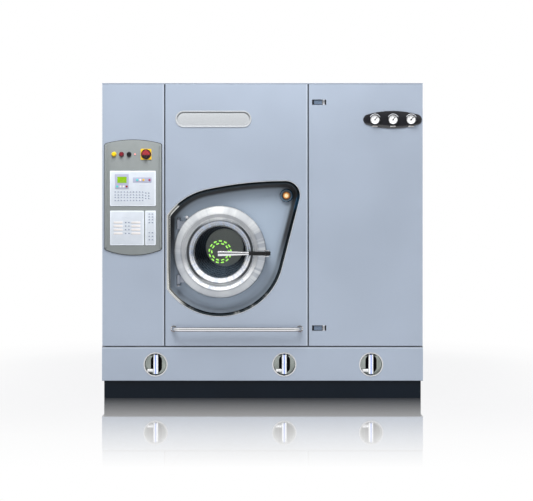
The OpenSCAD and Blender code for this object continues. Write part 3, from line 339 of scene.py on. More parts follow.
def tinted(colour, factor):
    """A colour made lighter or darker, with no channel past 1."""
    return tuple(min(1.0, channel * factor) for channel in colour)


class Sock:
    """A node's output that adds, multiplies and compares like a number."""

    def __init__(self, mat, out):
        self.mat = mat
        self.out = out

    def math(self, operation, *others):
        node = self.mat.new("ShaderNodeMath", operation=operation)
        for i, value in enumerate((self,) + others):
            self.mat.feed(node.inputs[i], value)
        return Sock(self.mat, node.outputs[0])

    def __add__(self, other):
        return self.math("ADD", other)

    def __sub__(self, other):
        return self.math("SUBTRACT", other)

    def __rsub__(self, other):
        return (self * -1.0).math("ADD", other)

    def __mul__(self, other):
        return self.math("MULTIPLY", other)

    def __truediv__(self, other):
        return self.math("DIVIDE", other)

    def __abs__(self):
        return self.math("ABSOLUTE")

    __radd__ = __add__
    __rmul__ = __mul__

    def most(self, other):
        """The larger of the two."""
        return self.math("MAXIMUM", other)

    def step(self, low, high):
        """0 below low and 1 over high, with a smooth rise between them."""
        node = self.mat.new("ShaderNodeMapRange", {"Value": self, "From Min": low, "From Max": high},
                            interpolation_type="SMOOTHSTEP")
        return Sock(self.mat, node.outputs["Result"])

    def between(self, a, b, c, d):
        """1 from b to c, with a smooth fall to 0 at a and at d."""
        return self.step(a, b) * (1.0 - self.step(c, d))

    def wave(self, count):
        """How far the value is from the nearest mark, of count marks to each whole one; 0.5 on a mark."""
        return abs((self * count).math("FRACT") - 0.5)


class Mat:
    """The nodes of a material, or of the world, built up as formulas."""

    def __init__(self, name, library=None, shader="Principled BSDF", **constants):
        library = bpy.data.materials if library is None else library
        self.data = library.new(name)
        self.data.use_nodes = True
        self.tree = self.data.node_tree
        self.shader = self.tree.nodes[shader]
        for key, value in constants.items():
            self.set(key.replace("_", " "), value)

    def new(self, kind, values=None, **settings):
        """A node of a type, with its settings first and then the values or links of its sockets."""
        node = self.tree.nodes.new(kind)
        for key, value in settings.items():
            setattr(node, key, value)
        for key, value in (values or {}).items():
            self.feed(node.inputs[key], value)
        return node

    def feed(self, socket, value):
        """Links a Sock to a socket, or sets the socket's own value, a colour with no alpha of its own."""
        if isinstance(value, Sock):
            self.tree.links.new(value.out, socket)
        else:
            socket.default_value = tuple(value) + (1.0,) if socket.type == "RGBA" else value

    def set(self, name, value):
        self.feed(self.shader.inputs[name], value)

    def point(self):
        """The point on the object, in metres."""
        return Sock(self, self.new("ShaderNodeTexCoord").outputs["Object"])

    def grain(self):
        """The piece's own UV."""
        return Sock(self, self.new("ShaderNodeUVMap", uv_map="grain").outputs["UV"])

    def axes(self, vector):
        return [Sock(self, out) for out in self.new("ShaderNodeSeparateXYZ", {0: vector}).outputs]

    def vector(self, x, y=0.0, z=0.0):
        return Sock(self, self.new("ShaderNodeCombineXYZ", {0: x, 1: y, 2: z}).outputs[0])

    def stretch(self, vector, x, y, z):
        """The vector with its axes scaled."""
        return Sock(self, self.new("ShaderNodeMapping", {"Vector": vector, "Scale": (x, y, z)}).outputs[0])

    def noise(self, vector, scale, detail=3.0, roughness=0.5):
        node = self.new("ShaderNodeTexNoise", {"Vector": vector, "Scale": scale, "Detail": detail,
                                               "Roughness": roughness})
        return Sock(self, node.outputs["Fac"])

    def mix(self, fac, low, high):
        return Sock(self, self.new("ShaderNodeMix", {0: fac, 6: low, 7: high}, data_type="RGBA").outputs[2])

    def tones(self, fac, colour, low, high):
        """The colour from low to high times itself."""
        return self.mix(fac, tinted(colour, low), tinted(colour, high))

    def polar(self, x0, z0):
        """Distance from an axis along Y, and the angle round it, from -pi to pi."""
        x, _, z = self.axes(self.point())
        dx, dz = x - x0, z - z0
        return (dx * dx + dz * dz).math("SQRT"), dz.math("ARCTAN2", dx)

    def circle(self, angle, reach=1.0, rise=0.0):
        """A point at an angle on a circle, so that a noise read there has no seam."""
        return self.vector(angle.math("COSINE") * reach, angle.math("SINE") * reach, rise)

    def bump(self, height, distance, strength=1.0):
        node = self.new("ShaderNodeBump", {"Distance": distance, "Strength": strength, "Height": height})
        self.tree.links.new(node.outputs[0], self.shader.inputs["Normal"])


# ---- Materials -------------------------------------------------------------

def enamel_cloud(m, p):
    """The tone of sprayed metallic enamel: soft clouds with fine flakes in them."""
    return m.noise(p, 1.7, 2.0) * 0.7 + m.noise(p, 2600.0, 1.0) * 0.3


def orange_peel(m, p):
    """The faint unevenness of a sprayed skin."""
    m.bump(m.noise(p, 420.0, 2.0), 0.00012, 0.25)


def paint(name, colour, spread=0.06, rough=0.34, metallic=0.35, coat=0.25, shine=0.5, joints_x=(),
          joints_z=()):
    """Satin metallic enamel, with painted shade in its panel joints and a painted highlight along the edge
    beside them.
    """
    m = Mat(name, Metallic=metallic, Coat_Weight=coat, Coat_Roughness=0.18, Specular_IOR_Level=shine)
    p = m.point()
    colour = m.tones(enamel_cloud(m, p).step(0.25, 0.75), colour, 1 - spread, 1 + spread)
    if joints_x or joints_z:
        x, _, z = m.axes(p)
        # Painted shade darkens the panel joints, and a painted highlight lightens a strip 9.5 mm to the left
        # of each upright one and below each level one.
        joint_shade, edge_highlight = 0.0, 0.0
        for away in [x - at for at in joints_x] + [z - at for at in joints_z]:
            joint_shade = (1.0 - abs(away).step(0.0030, 0.0062)).most(joint_shade)
            edge_highlight = abs(away * -1.0 - 0.0095).step(0.0040, 0.0020).most(edge_highlight)
        colour = m.mix(joint_shade * 0.8, m.mix(edge_highlight * 0.35, colour, (0.74, 0.79, 0.86)), (0.035, 0.042, 0.055))
    m.set("Base Color", colour)
    m.set("Roughness", m.noise(p, 9.0) * 0.10 + (rough - 0.05))
    orange_peel(m, p)
    return m.data


def brushed(name, colour, along=(1.0, 1.0, 60.0), rough=0.28, contrast=0.10, metallic=1.0):
    """Sheet or bar steel with fine lines along one axis and faint handling marks."""
    m = Mat(name, Metallic=metallic)
    p = m.point()
    lines = m.noise(m.stretch(p, *along), 60.0, 4.0, 0.6)
    marks = m.noise(p, 14.0, 4.0, 0.6)
    m.set("Base Color", m.tones(lines * 0.7 + marks * 0.3, colour, 1 - contrast, 1 + contrast))
    m.set("Roughness", lines * 0.14 + marks * 0.12 + (rough - 0.13))
    m.bump(lines, 0.0002, 0.15)
    return m.data


def lathe(name, colour, rough, pitch, depth, centre, metallic, **constants):
    """Turned metal: fine rings round its axis, and soft fans of painted reflection, light and dark, round the
    face.
    """
    m = Mat(name, Metallic=metallic, **constants)
    radius, angle = m.polar(*centre)
    rings = m.noise(m.vector(radius / pitch), 1.0, 3.0, 0.7)
    fan = m.noise(m.circle(angle), 3.2, 4.0, 0.65)
    wear = m.noise(m.point(), 30.0, 4.0)
    # The fans are painted reflections.
    m.set("Base Color", m.tones(fan * 0.75 + wear * 0.25, colour, 0.85, 1.15))
    m.set("Roughness", rings * 0.12 + wear * 0.08 + (rough - 0.10))
    m.bump(rings, depth, 0.5)
    return m.data


def polished_steel():
    """Polished metal with a faint haze and a few soft marks."""
    m = Mat("polished_steel", Metallic=1.0)
    p = m.point()
    haze = m.noise(p, 18.0, 4.0, 0.6)
    m.set("Base Color", m.tones(haze, (0.80, 0.81, 0.83), 0.92, 1.05))
    m.set("Roughness", haze * 0.09 + 0.05)
    m.bump(m.noise(p, 7.0, 2.0), 0.0006, 0.12)
    return m.data


def moulded(name, colour, rough=0.42, grain=900.0, depth=0.00008, coat=0.0, **constants):
    """Moulded plastic or rubber with its grain, faint tone changes, and a tone that is darker in the hollows
    of its grain.
    """
    m = Mat(name, Coat_Weight=coat, Coat_Roughness=0.08, **constants)
    p = m.point()
    fine = m.noise(p, grain, 2.0)
    broad = m.noise(p, 22.0, 4.0)
    m.set("Base Color", m.tones(broad * 0.7 + fine * 0.3, colour, 0.86, 1.12))
    m.set("Roughness", broad * 0.12 + (rough - 0.06))
    m.bump(fine, depth, 0.5)
    return m.data


def cast_iron():
    """Painted iron with the rough skin of a sand casting."""
    m = Mat("cast_iron", Metallic=0.6)
    p = m.point()
    skin_grain = m.noise(p, 260.0, 4.0, 0.6)
    m.set("Base Color", m.tones(m.noise(p, 9.0, 5.0, 0.6), (0.10, 0.11, 0.12), 0.72, 1.2))
    m.set("Roughness", skin_grain * 0.2 + 0.42)
    m.bump(skin_grain, 0.0005, 0.5)
    return m.data


def galvanised_steel():
    """Zinc-coated sheet with its spangle of crystals."""
    m = Mat("galvanised_steel", Metallic=0.85)
    p = m.point()
    cells = m.new("ShaderNodeTexVoronoi", {"Vector": p, "Scale": 70.0})
    spangle = m.axes(Sock(m, cells.outputs["Color"]))[0]
    m.set("Base Color", m.tones(spangle, (0.52, 0.54, 0.56), 0.82, 1.15))
    m.set("Roughness", spangle * 0.16 + m.noise(p, 12.0) * 0.12 + 0.26)
    return m.data


def perforated_steel():
    """Basket sheet: staggered round holes about 8 mm across on a 14 mm pitch, painted dark as the shade seen
    through them, on a sheet painted paler below the axis as light.
    """
    m = Mat("perforated_steel", Metallic=1.0)
    pitch = 0.014
    u, v, _ = m.axes(m.grain())
    row = (v / pitch).math("FLOOR")
    du = (u / pitch + row.math("MODULO", 2.0) * 0.5).math("FRACT") - 0.5
    dv = (v / pitch).math("FRACT") - 0.5
    away = (du * du + dv * dv).math("SQRT")
    hole = away.step(0.25, 0.31)
    p = m.point()
    lines = m.noise(m.stretch(p, 1.0, 60.0, 1.0), 40.0)
    _, _, z = m.axes(p)
    # The sheet is painted up to 2.4 times paler below the axis, as light; the holes are painted near black,
    # as shade.
    sheet = m.tones(lines * 0.4 + (DRUM_Z - z).step(0.02, 0.30) * 0.6, (0.15, 0.18, 0.24), 0.8, 2.4)
    m.set("Base Color", m.mix(hole, (0.008, 0.008, 0.009), sheet))
    m.set("Metallic", hole)
    m.set("Roughness", lines * 0.12 + 0.24)
    m.bump(away.step(0.22, 0.40), 0.0012, 0.8)
    return m.data


def clear_glass(name, tint, veil):
    """Thin clear glass: a veil of tint with a little dust in it, cloudy blue below the drum's axis."""
    m = Mat(name, Metallic=0.0, IOR=1.5)
    p = m.point()
    dust = m.noise(p, 24.0, 4.0)
    _, _, z = m.axes(p)
    low = (DRUM_Z - z).step(0.03, 0.13)
    folds = m.noise(m.stretch(p, 22.0, 0.0, 1.6), 1.0, 2.0)
    blue = m.mix(folds, (0.030, 0.048, 0.070), (0.10, 0.15, 0.20))
    m.set("Base Color", m.mix(low, m.tones(dust, tint, 1.0, 2.2), blue))
    m.set("Roughness", dust * 0.03 + 0.01)
    m.set("Alpha", m.noise(p, 5.0, 2.0) * 0.04 + low * 0.16 + veil)
    return m.data


# The blue-grey enamel of the cabinet, and the finishes of its parts
BLUE_GREY = srgb(167, 178, 194)
SEAM_X = (-0.609, 0.285)
SEAM_Z = 0.325
PLINTH_TOP = 0.1085
PAINT = paint("cabinet_paint", BLUE_GREY)
FRONT_PAINT = paint("front_enamel", BLUE_GREY, joints_x=SEAM_X, joints_z=(SEAM_Z,))
BASE_PAINT = paint("base_enamel", BLUE_GREY, joints_z=(SEAM_Z, PLINTH_TOP))
PLINTH = paint("plinth_paint", (0.0026, 0.0062, 0.0120), spread=0.2, rough=0.45, metallic=0.0, coat=0.0,
               shine=0.18)
FRAME_PAINT = paint("frame_paint", srgb(92, 97, 104))
BLUE_PAINT = paint("machine_blue", srgb(52, 84, 120), spread=0.12, rough=0.4)
BEZEL = moulded("bezel_plastic", srgb(128, 133, 133), rough=0.55, grain=1400.0)
MEMBRANE = moulded("membrane", srgb(195, 201, 209), rough=0.38, grain=1800.0, depth=0.00003)
BLACK = moulded("black_plastic", (0.010, 0.010, 0.011), Specular_IOR_Level=0.25)
GLOSS_BLACK = moulded("gloss_black", (0.010, 0.010, 0.013), rough=0.10, grain=60.0, depth=0.00002, coat=1.0)
YELLOW = moulded("yellow_plastic", (0.80, 0.52, 0.004))
RED = moulded("red_plastic", (0.17, 0.006, 0.014), rough=0.40, coat=0.1)
RUBBER = moulded("rubber", (0.018, 0.018, 0.019), rough=0.62)
LABEL = moulded("label_white", srgb(212, 208, 206), rough=0.5)
IRON = cast_iron()
STAINLESS = brushed("brushed_stainless", (0.60, 0.61, 0.63))
CHROME = polished_steel()
ZINC = galvanised_steel()
COPPER = brushed("copper_pipe", (0.72, 0.36, 0.22), along=(1.0, 1.0, 1.0), rough=0.30)


# ---- Recess, trim and lamp -------------------------------------------------

# The recess from the front, round the drum's axis: its big circle, the chord that cuts its left side,
# and the centre of its corner arc at the upper right
RECESS_R = 0.403
RECESS_LEFT = 0.3315
CORNER = (0.4093, 0.353)
CORNER_R = 0.094
TRIM_W = 0.023
PAN_SHEET = 0.003
PAN_BEND = 0.050
PAN_HOLE_R = 0.2425


def recess_outline(g):
    """The recess seen from the front: corner arc, top arc, door circle cut by a chord, all grown by g."""
    rise = -CORNER[1] - CORNER_R
    top_r = (RECESS_R ** 2 - CORNER[0] ** 2 - rise ** 2) / (2 * (rise + RECESS_R))
    kx, kz = DRUM_X + CORNER[0], DRUM_Z + CORNER[1]
    tz = kz - (top_r - CORNER_R)
    edge = math.degrees(math.atan2(CORNER[1], CORNER[0])
                        - math.acos((RECESS_R - CORNER_R) / math.hypot(*CORNER)))
    top = math.degrees(math.atan2(DRUM_Z - tz, DRUM_X - kx))
    left = math.degrees(math.acos(-(RECESS_LEFT + g) / (RECESS_R + g)))
    return np.concatenate([
        arc(kx, kz, CORNER_R + g, edge, 90, 24), arc(kx, tz, top_r + g, 90, top, 30),
        arc(DRUM_X, DRUM_Z, RECESS_R + g, top, left, 14),
        arc(DRUM_X, DRUM_Z, RECESS_R + g, 360 - left, 360 + edge, 60)])


def trim_ring(name, g0, g1, y0, e):
    """A flat band from g0 to g1 inside the recess outline, with both edges rounded, closed on itself."""
    y1 = FRONT + 0.008
    profile = [(g0, y1), (g0, y0 + e), (g0 + 0.3 * e, y0 + 0.3 * e), (g0 + e, y0), (g1 - e, y0),
               (g1 - 0.3 * e, y0 + 0.3 * e), (g1, y0 + e), (g1, y1), (g0, y1)]
    return swept(name, recess_outline, profile, cap_front=False)


def recess_pan():
    """The recess: its wall curves into its floor, whose middle opens for the door with a turned-in lip.

    Its UV is the way round, from 0 to 1, and the distance in from the outline."""
    t, r, floor = PAN_SHEET, PAN_BEND, PAN_BACK - PAN_SHEET
    wall = [(0.0, PAN_FRONT), (t, PAN_FRONT), (t, floor - r)]
    wall += [(t + r * (1 - math.sin(v)), floor - r * (1 - math.cos(v)))
             for v in np.linspace(math.pi / 2, 0, 12)]
    wall.append((0.080, floor))
    rings = [upright(recess_outline(-g), y) for g, y in wall]
    n = len(rings[0])
    a = np.arctan2(rings[-1][:, 2] - DRUM_Z, rings[-1][:, 0] - DRUM_X)
    hole = np.column_stack([DRUM_X + PAN_HOLE_R * np.cos(a), DRUM_Z + PAN_HOLE_R * np.sin(a)])
    rings += [upright(hole, floor), upright(hole, floor + t), upright(recess_outline(0.0), floor + t)]
    rings.append(rings[0])
    inward = np.array([g for g, _ in wall] + [0.14, 0.14, 0.14, 0.0])
    return make_mesh("recess_pan_skin", np.concatenate(rings), grid_faces(len(rings), n),
                     uv=grid_uv(np.arange(n + 1) / n, inward))


def pan_finish():
    """The cabinet's enamel, lighter on the floor, with painted shade on the wall that fades out onto the
    floor and is darkest in the upper part.
    """
    m = Mat("recess_enamel", Coat_Roughness=0.18)
    p = m.point()
    _, _, z = m.axes(p)
    _, inward, _ = m.axes(m.grain())
    # Painted shade: the wall and its bend are painted near black, with less Metallic and coat, fading out
    # onto the floor and darkest in the upper part of the recess.
    fade = 1.0 - inward.step(0.036, 0.056) * 0.72 - inward.step(0.050, 0.090) * 0.28
    wall = fade * ((z - DRUM_Z).step(-0.15, 0.12) * 0.40 + 0.60)
    cloud = enamel_cloud(m, p)
    floor = m.mix(cloud.step(0.25, 0.75), srgb(167, 182, 200), srgb(179, 194, 211))
    m.set("Base Color", m.mix(wall, floor, m.mix(cloud, (0.012, 0.014, 0.017), (0.045, 0.050, 0.058))))
    m.set("Metallic", 0.35 - wall * 0.35)
    m.set("Coat Weight", 0.25 - wall * 0.25)
    m.set("Roughness", m.noise(p, 9.0) * 0.10 + wall * 0.25 + 0.29)
    orange_peel(m, p)
    return m.data


def trim_finish():
    """Polished steel painted near black as dark reflections, with pale bands of painted reflection at its
    left and lower left and in fans along its bottom, and painted blue reflections at its upper right.
    """
    m = Mat("polished_trim", Metallic=1.0)
    radius, angle = m.polar(*AXIS)
    p = m.point()
    x, _, z = m.axes(p)
    fan = m.noise(m.circle(angle), 2.6, 5.0, 0.7)
    turn = abs(angle / math.pi)
    below = (DRUM_Z - z).step(0.0, 0.02)
    left = turn.step(0.725 - below * 0.055, 0.737 - below * 0.005)
    streak = m.noise(m.circle(angle, 1.5, radius * 160.0), 3.0, 4.0, 0.6)
    # Painted reflections: pale at the left, lower left and in fans along the bottom, and blue streaks at the
    # upper right; the near-black base stands for dark reflections.
    pale = left * (0.55 + streak * 0.45) + fan.step(0.50, 0.66) * (DRUM_Z - z).step(0.20, 0.30) * 0.5
    blue = (x - z).step(-1.06, -1.02) * z.step(DRUM_Z + 0.24, DRUM_Z + 0.30) * streak.step(0.35, 0.55)
    dark = m.mix(blue * 0.9 + streak * 0.1, (0.030, 0.035, 0.036), (0.05, 0.17, 0.33))
    m.set("Base Color", m.mix(pale.math("MINIMUM", 1.0), dark, (0.84, 0.85, 0.82)))
    m.set("Roughness", m.noise(p, 16.0) * 0.10 + 0.05)
    m.bump(fan, 0.001, 0.2)
    return m.data


LIP_STEEL = brushed("trim_lip_steel", (0.86, 0.88, 0.91), rough=0.35)
finish_piece(recess_pan(), pan_finish(), "cabinet", "paint", "recess_pan")
for name, inner, outer, proud, edge, material in (
        ("recess_trim_band", 0.0042, TRIM_W, 0.0020, 0.0016, trim_finish()),
        ("recess_trim_lip", 0.0, 0.0040, 0.0016, 0.0018, LIP_STEEL)):
    finish_piece(trim_ring(name, inner, outer, FRONT - proud, edge), material, "cabinet", "polished",
                 "recess_trim")

LAMP = (DRUM_X + CORNER[0] + 0.007, DRUM_Z + CORNER[1])


def lamp_bezel_finish():
    """Gloss black with a painted cool blue reflection on its shoulder."""
    m = Mat("lamp_bezel", Roughness=0.12, Coat_Weight=1.0, Coat_Roughness=0.05)
    radius, _ = m.polar(*LAMP)
    # The blue band on the shoulder is a painted reflection.
    tone = m.noise(m.point(), 60.0) * 0.15 + radius.between(0.031, 0.034, 0.038, 0.040) * 0.85
    m.set("Base Color", m.mix(tone, (0.005, 0.006, 0.008), (0.035, 0.12, 0.22)))
    return m.data


def lens_finish():
    """An orange lens, palest in the middle, with fine ribs round it."""
    m = Mat("lamp_lens", Roughness=0.18, Coat_Weight=0.8, Coat_Roughness=0.04, Emission_Strength=0.35)
    radius, _ = m.polar(*LAMP)
    colour = m.mix(1.0 - radius.step(0.003, 0.020), (0.62, 0.20, 0.02), (1.0, 0.80, 0.45))
    m.set("Base Color", colour)
    m.set("Emission Color", colour)
    m.bump((radius * 2400.0).math("SINE"), 0.0004, 0.5)
    return m.data


bezel_ring = turned("lamp_bezel_ring", [
    (21.3, 79.7), (21.3, 57.7), (23, 54.6), (27, 53.7), (36, 55.7), (40.5, 59), (42, 63), (42, 79.7),
    (21.3, 79.7)], LAMP, steps=72)
finish_piece(bezel_ring, lamp_bezel_finish(), "cabinet", "lamp", "recess_lamp")
lens = turned("lamp_lens_dome", [
    (0, 50.7), (7, 51.0), (13, 52.2), (18, 55), (21, 59), (21, 79.7), (0, 79.7)], LAMP, steps=72)
finish_piece(lens, lens_finish(), "cabinet", "lamp")


# ---- Loading door ----------------------------------------------------------

HINGE = (DRUM_X - 0.260, FRONT + 0.030)
HINGE_DZ = 0.172
LEVER_Z = DRUM_Z - 0.007
LEVER_PIN = (DRUM_X + 0.299, FRONT - 0.024)


def ring_finish():
    """Turned steel with painted light: a flank with fans of painted reflection, painted bright at the top and
    painted darker at the left edge and in streaks at the right; a grey band of fine rings, painted paler
    below the axis with painted blue reflections; a bead; and a groove painted dark as shade, darkest at the
    sides.
    """
    m = Mat("door_ring_steel")
    radius, angle = m.polar(*AXIS)
    p = m.point()
    x, _, z = m.axes(p)
    fan = m.noise(m.circle(angle), 1.9, 4.0, 0.6)
    streak = m.noise(m.circle(angle), 9.0, 3.0, 0.6)
    dashes = m.noise(m.circle(angle, 1.0, radius * 3.0), 11.0, 3.0, 0.7)
    fine = m.noise(m.vector(radius * 1100.0), 1.0, 3.0, 0.7)
    wear = m.noise(p, 26.0, 4.0)
    band = radius.between(0.2165, 0.2185, 0.236, 0.2385)
    side = abs(angle.math("COSINE")).step(0.30, 0.75)
    # Painted shade in the groove and inside it, darkest at the left and right.
    groove = (1.0 - radius.step(0.2015 + side * 0.0030, 0.2035 + side * 0.0045)) * (side * 0.65 + 0.30)
    # Painted light on the flank: paler at the top and a little below the axis, painted shade at the left edge
    # and in streaks at the right, and fans of painted reflection.
    low = (DRUM_Z - z).step(0.02, 0.17)
    right = (x - DRUM_X).step(0.15, 0.27) * streak.step(0.44, 0.60) * 0.50
    shade = right + (DRUM_X - 0.20 - x).step(0.0, 0.06) * 0.22
    rise = (z - DRUM_Z).step(0.04, 0.26) * 0.45 + low * 0.10
    tone = (fan.step(0.36, 0.60) - 0.5) * (0.45 - low * 0.32) + wear * 0.10 + rise - shade + 0.22
    steel = m.mix(tone, (0.42, 0.45, 0.50), (0.98, 1.0, 1.0))
    # The band is painted dark above the axis and pale below it, with painted blue reflections low down.
    grey = m.mix(fine * 0.45 + fan * 0.55, m.mix(low, (0.22, 0.24, 0.26), (0.84, 0.86, 0.90)),
                 m.mix(low, (0.66, 0.67, 0.70), (1.0, 1.0, 1.0)))
    grey = m.mix(dashes.step(0.50, 0.64) * low * 0.55, grey, (0.42, 0.50, 0.62))
    m.set("Base Color", m.mix(groove, m.mix(band, steel, grey), (0.06, 0.065, 0.07)))
    # Metallic is lowered at the top of the flank and in the band below the axis, so that they render paler,
    # as painted light.
    high = (z - DRUM_Z).step(0.08, 0.22) * (1.0 - band)
    m.set("Metallic", 1.0 - low * band * 0.40 - high * 0.17)
    m.set("Roughness", fine * 0.10 + wear * 0.08 + band * 0.08 + 0.22)
    m.bump(fine, 0.00025, 0.5)
    return m.data


def funnel_finish():
    """Turned funnel painted white below the axis and darker above it, as light and shade, with painted cool
    blue reflections in streaks along its slope.
    """
    m = Mat("funnel_steel")
    radius, angle = m.polar(*AXIS)
    fan = m.noise(m.circle(angle, 4.0, radius * 6.0), 2.2, 4.0, 0.65)
    rings = m.noise(m.vector(radius * 600.0), 1.0, 2.0)
    _, _, z = m.axes(m.point())
    # Painted light: white and less metallic below the axis, darker above it, with painted blue reflections in
    # streaks.
    low = (DRUM_Z - z).step(-0.02, 0.14)
    steel = m.mix(low, (0.46, 0.48, 0.52), (1.0, 1.0, 1.0))
    m.set("Base Color", m.mix(fan.step(0.42, 0.62) * 0.60, steel, (0.44, 0.52, 0.68)))
    m.set("Metallic", 1.0 - low * 0.5)
    m.set("Roughness", rings * 0.08 + fan * 0.06 + 0.10)
    m.bump(rings, 0.00015, 0.5)
    return m.data


# The bell's depth grows with t and its square, so that it steepens towards the glass
bell = [(189 - 23.5 * t, 10.6 + 17.4 * (0.6 * t + 0.4 * t * t)) for t in np.linspace(0.06, 1.0, 12)]
GLASS = clear_glass("clear_glass", (0.004, 0.007, 0.010), 0.10)
for name, steps, radius, material, slot, nodes, profile in (
        ("door_ring_body", 240, 1.4, ring_finish(), "stainless", ["door_ring"], [
            (289, 58), (289, 24), (287.6, 20.4), (284.5, 17.4), (246.5, -6.2), (244, -8.4), (240.5, -12),
            (236.5, -11.4), (234.5, -9.6), (219.5, -0.2), (217.5, 0.6), (216.2, -0.9), (212, -1.0),
            (208.6, -0.6), (206.6, 4.5), (205.4, 7.2), (196.2, 13.8), (195.8, 15.2), (195.8, 21), (206, 14),
            (217, 8), (235, -2), (240, -3.5), (281, 23), (283, 27), (283, 52), (195.8, 52), (195.8, 58),
            (289, 58)]),
        ("door_funnel_look", 200, 0.8, funnel_finish(), "polished", ["door_funnel"], [
            (195.5, 58), (195.5, 14.5), (194, 11.6), (191, 10), (189, 10.6)] + bell + [
            (164.8, 29.5), (164, 46.7), (178, 46.7), (178, 58), (195.5, 58)]),
        ("glass_clamp_ring", 160, 0.8, STAINLESS, "stainless", [], [
            (160, 58.3), (204.5, 58.3), (204.5, 63.3), (160, 63.3), (160, 58.3)]),
        ("door_glass_look", 160, 0.6, GLASS, "clear_glass", ["door_glass"], [
            (0, 47), (176, 47), (177.7, 48.6), (177.7, 56.4), (176, 58), (0, 58)]),
        ("door_gasket_look", 160, 1.5, RUBBER, "rubber", ["door_gasket"], [
            (212, 58.3), (236, 58.3), (236, 63.3), (232, 67), (230.5, 75), (226, 79.2), (220, 79.2),
            (217, 75), (214, 67), (212, 63.3), (212, 58.3)])):
    finish_piece(turned(name, profile, AXIS, steps, radius), material, "loading_door", slot, *nodes)

CLAMP_SCREW_R = 0.191
screws = [turned("screw", [(0, 63.2), (6, 63.2), (6, 65.4), (4.6, 66.6), (0, 66.8)],
                 (DRUM_X + CLAMP_SCREW_R * math.cos(v), DRUM_Z + CLAMP_SCREW_R * math.sin(v)),
                 steps=20, radius=0.5) for v in np.radians(np.arange(15, 360, 30))]
finish_piece(joined("clamp_screws", *screws), CHROME, "loading_door", "polished")

lugs, ears = [], []
for s in (-1, 1):
    z = DRUM_Z + s * HINGE_DZ
    lugs.append(rod("barrel", (*HINGE, z - 0.030), (*HINGE, z + 0.030), 0.012, 0.002))
    lugs.append(slab("arm", rounded_box(HINGE[0] + 0.045, z, 0.090, 0.040, 0.004), HINGE[1] + 0.006,
                     HINGE[1] - 0.006, 0.0015, both=True))
    ears.append(slab("ear", rounded_box(0.024, LEVER_Z + s * 0.0178, 0.034, 0.006, 0.002), FRONT + 0.050,
                     LEVER_PIN[1] - 0.008, 0.0015, both=True))
HINGE_STEEL = brushed("hinge_steel", (0.33, 0.36, 0.42), rough=0.45)
finish_piece(joined("hinge_lugs", *lugs), HINGE_STEEL, "loading_door", "stainless")
finish_piece(joined("lever_ears", *ears), CHROME, "loading_door", "polished")

DASH_LENGTH, DASH_WIDTH = 0.021, 0.0085


def dash_ring():
    """Two plain rings of short dashes on the glass, each a thin rounded plate turned to its angle."""
    q = rounded_box(0.0, 0.0, DASH_LENGTH, DASH_WIDTH, DASH_WIDTH * 0.48, 3)(0.0)
    dashes = []
    for row, (radius, count) in enumerate(((0.052, 10), (0.068, 13))):
        for v in np.linspace(0.0, 2 * math.pi, count, endpoint=False) + row * 0.1:
            radial, around = q[:, 1] + radius, q[:, 0]
            outline = np.column_stack([DRUM_X + radial * math.cos(v) - around * math.sin(v),
                                       DRUM_Z + radial * math.sin(v) + around * math.cos(v)])
            dashes.append(skin([upright(outline, FRONT + y) for y in (0.0469, 0.0464)]))
    return gathered("dash_ring", dashes, smooth=False)


PRINT_GREEN = (0.30, 0.72, 0.10)
# The printed dashes glow faintly, as painted light.
GREEN = moulded("green_print", PRINT_GREEN, rough=0.35, grain=1500.0, depth=0.00002,
                Emission_Color=PRINT_GREEN, Emission_Strength=0.25)
finish_piece(dash_ring(), GREEN, "loading_door", "membrane")


# ---- Lever -----------------------------------------------------------------

GRIP_Y = FRONT - 0.0465
GRIP_X0, GRIP_X1, GRIP_R = -0.084, 0.020, 0.0125
RIB_PITCH = 0.0052
TIP_X = DRUM_X - 0.011


def lever_line(xs):
    """Points on the lever's middle line."""
    return [(x, GRIP_Y, LEVER_Z) for x in xs]


def pivot(name, half, radius, edge=0.0008):
    """An upright round bar at the lever's pivot."""
    return rod(name, (*LEVER_PIN, LEVER_Z - half), (*LEVER_PIN, LEVER_Z + half), radius, edge)


def lever_finish():
    """Polished bar: white along its upper and lower edges, with a painted dark reflection along its middle.
    """
    m = Mat("lever_steel", Metallic=0.85)
    p = m.point()
    _, _, z = m.axes(p)
    # A painted dark reflection along the middle of the bar.
    line = 1.0 - abs(z - LEVER_Z).step(0.0012, 0.0034)
    haze = m.noise(m.stretch(p, 8.0, 40.0, 60.0), 6.0)
    polish = m.mix(haze, (0.80, 0.81, 0.83), (0.98, 0.98, 1.0))
    m.set("Base Color", m.mix(line * 0.85, polish, (0.10, 0.11, 0.13)))
    m.set("Roughness", haze * 0.08 + 0.10)
    return m.data


def grip():
    """A ribbed sleeve: its radius is a cosine along the lever, between plain ends that are drawn in."""
    xs = np.linspace(GRIP_X0, GRIP_X1, 105)
    rib = 0.5 + 0.5 * np.cos((xs + 0.032) / RIB_PITCH * 2 * math.pi)
    ends = np.minimum(xs - GRIP_X0, GRIP_X1 - xs)
    radius = np.where(ends < 0.006, GRIP_R + 0.001, GRIP_R - 0.0006 * rib)
    radius -= 0.0012 * np.clip(1.0 - ends / 0.0015, 0.0, 1.0)
    return tube("lever_grip_look", lever_line(xs), radius, 44)


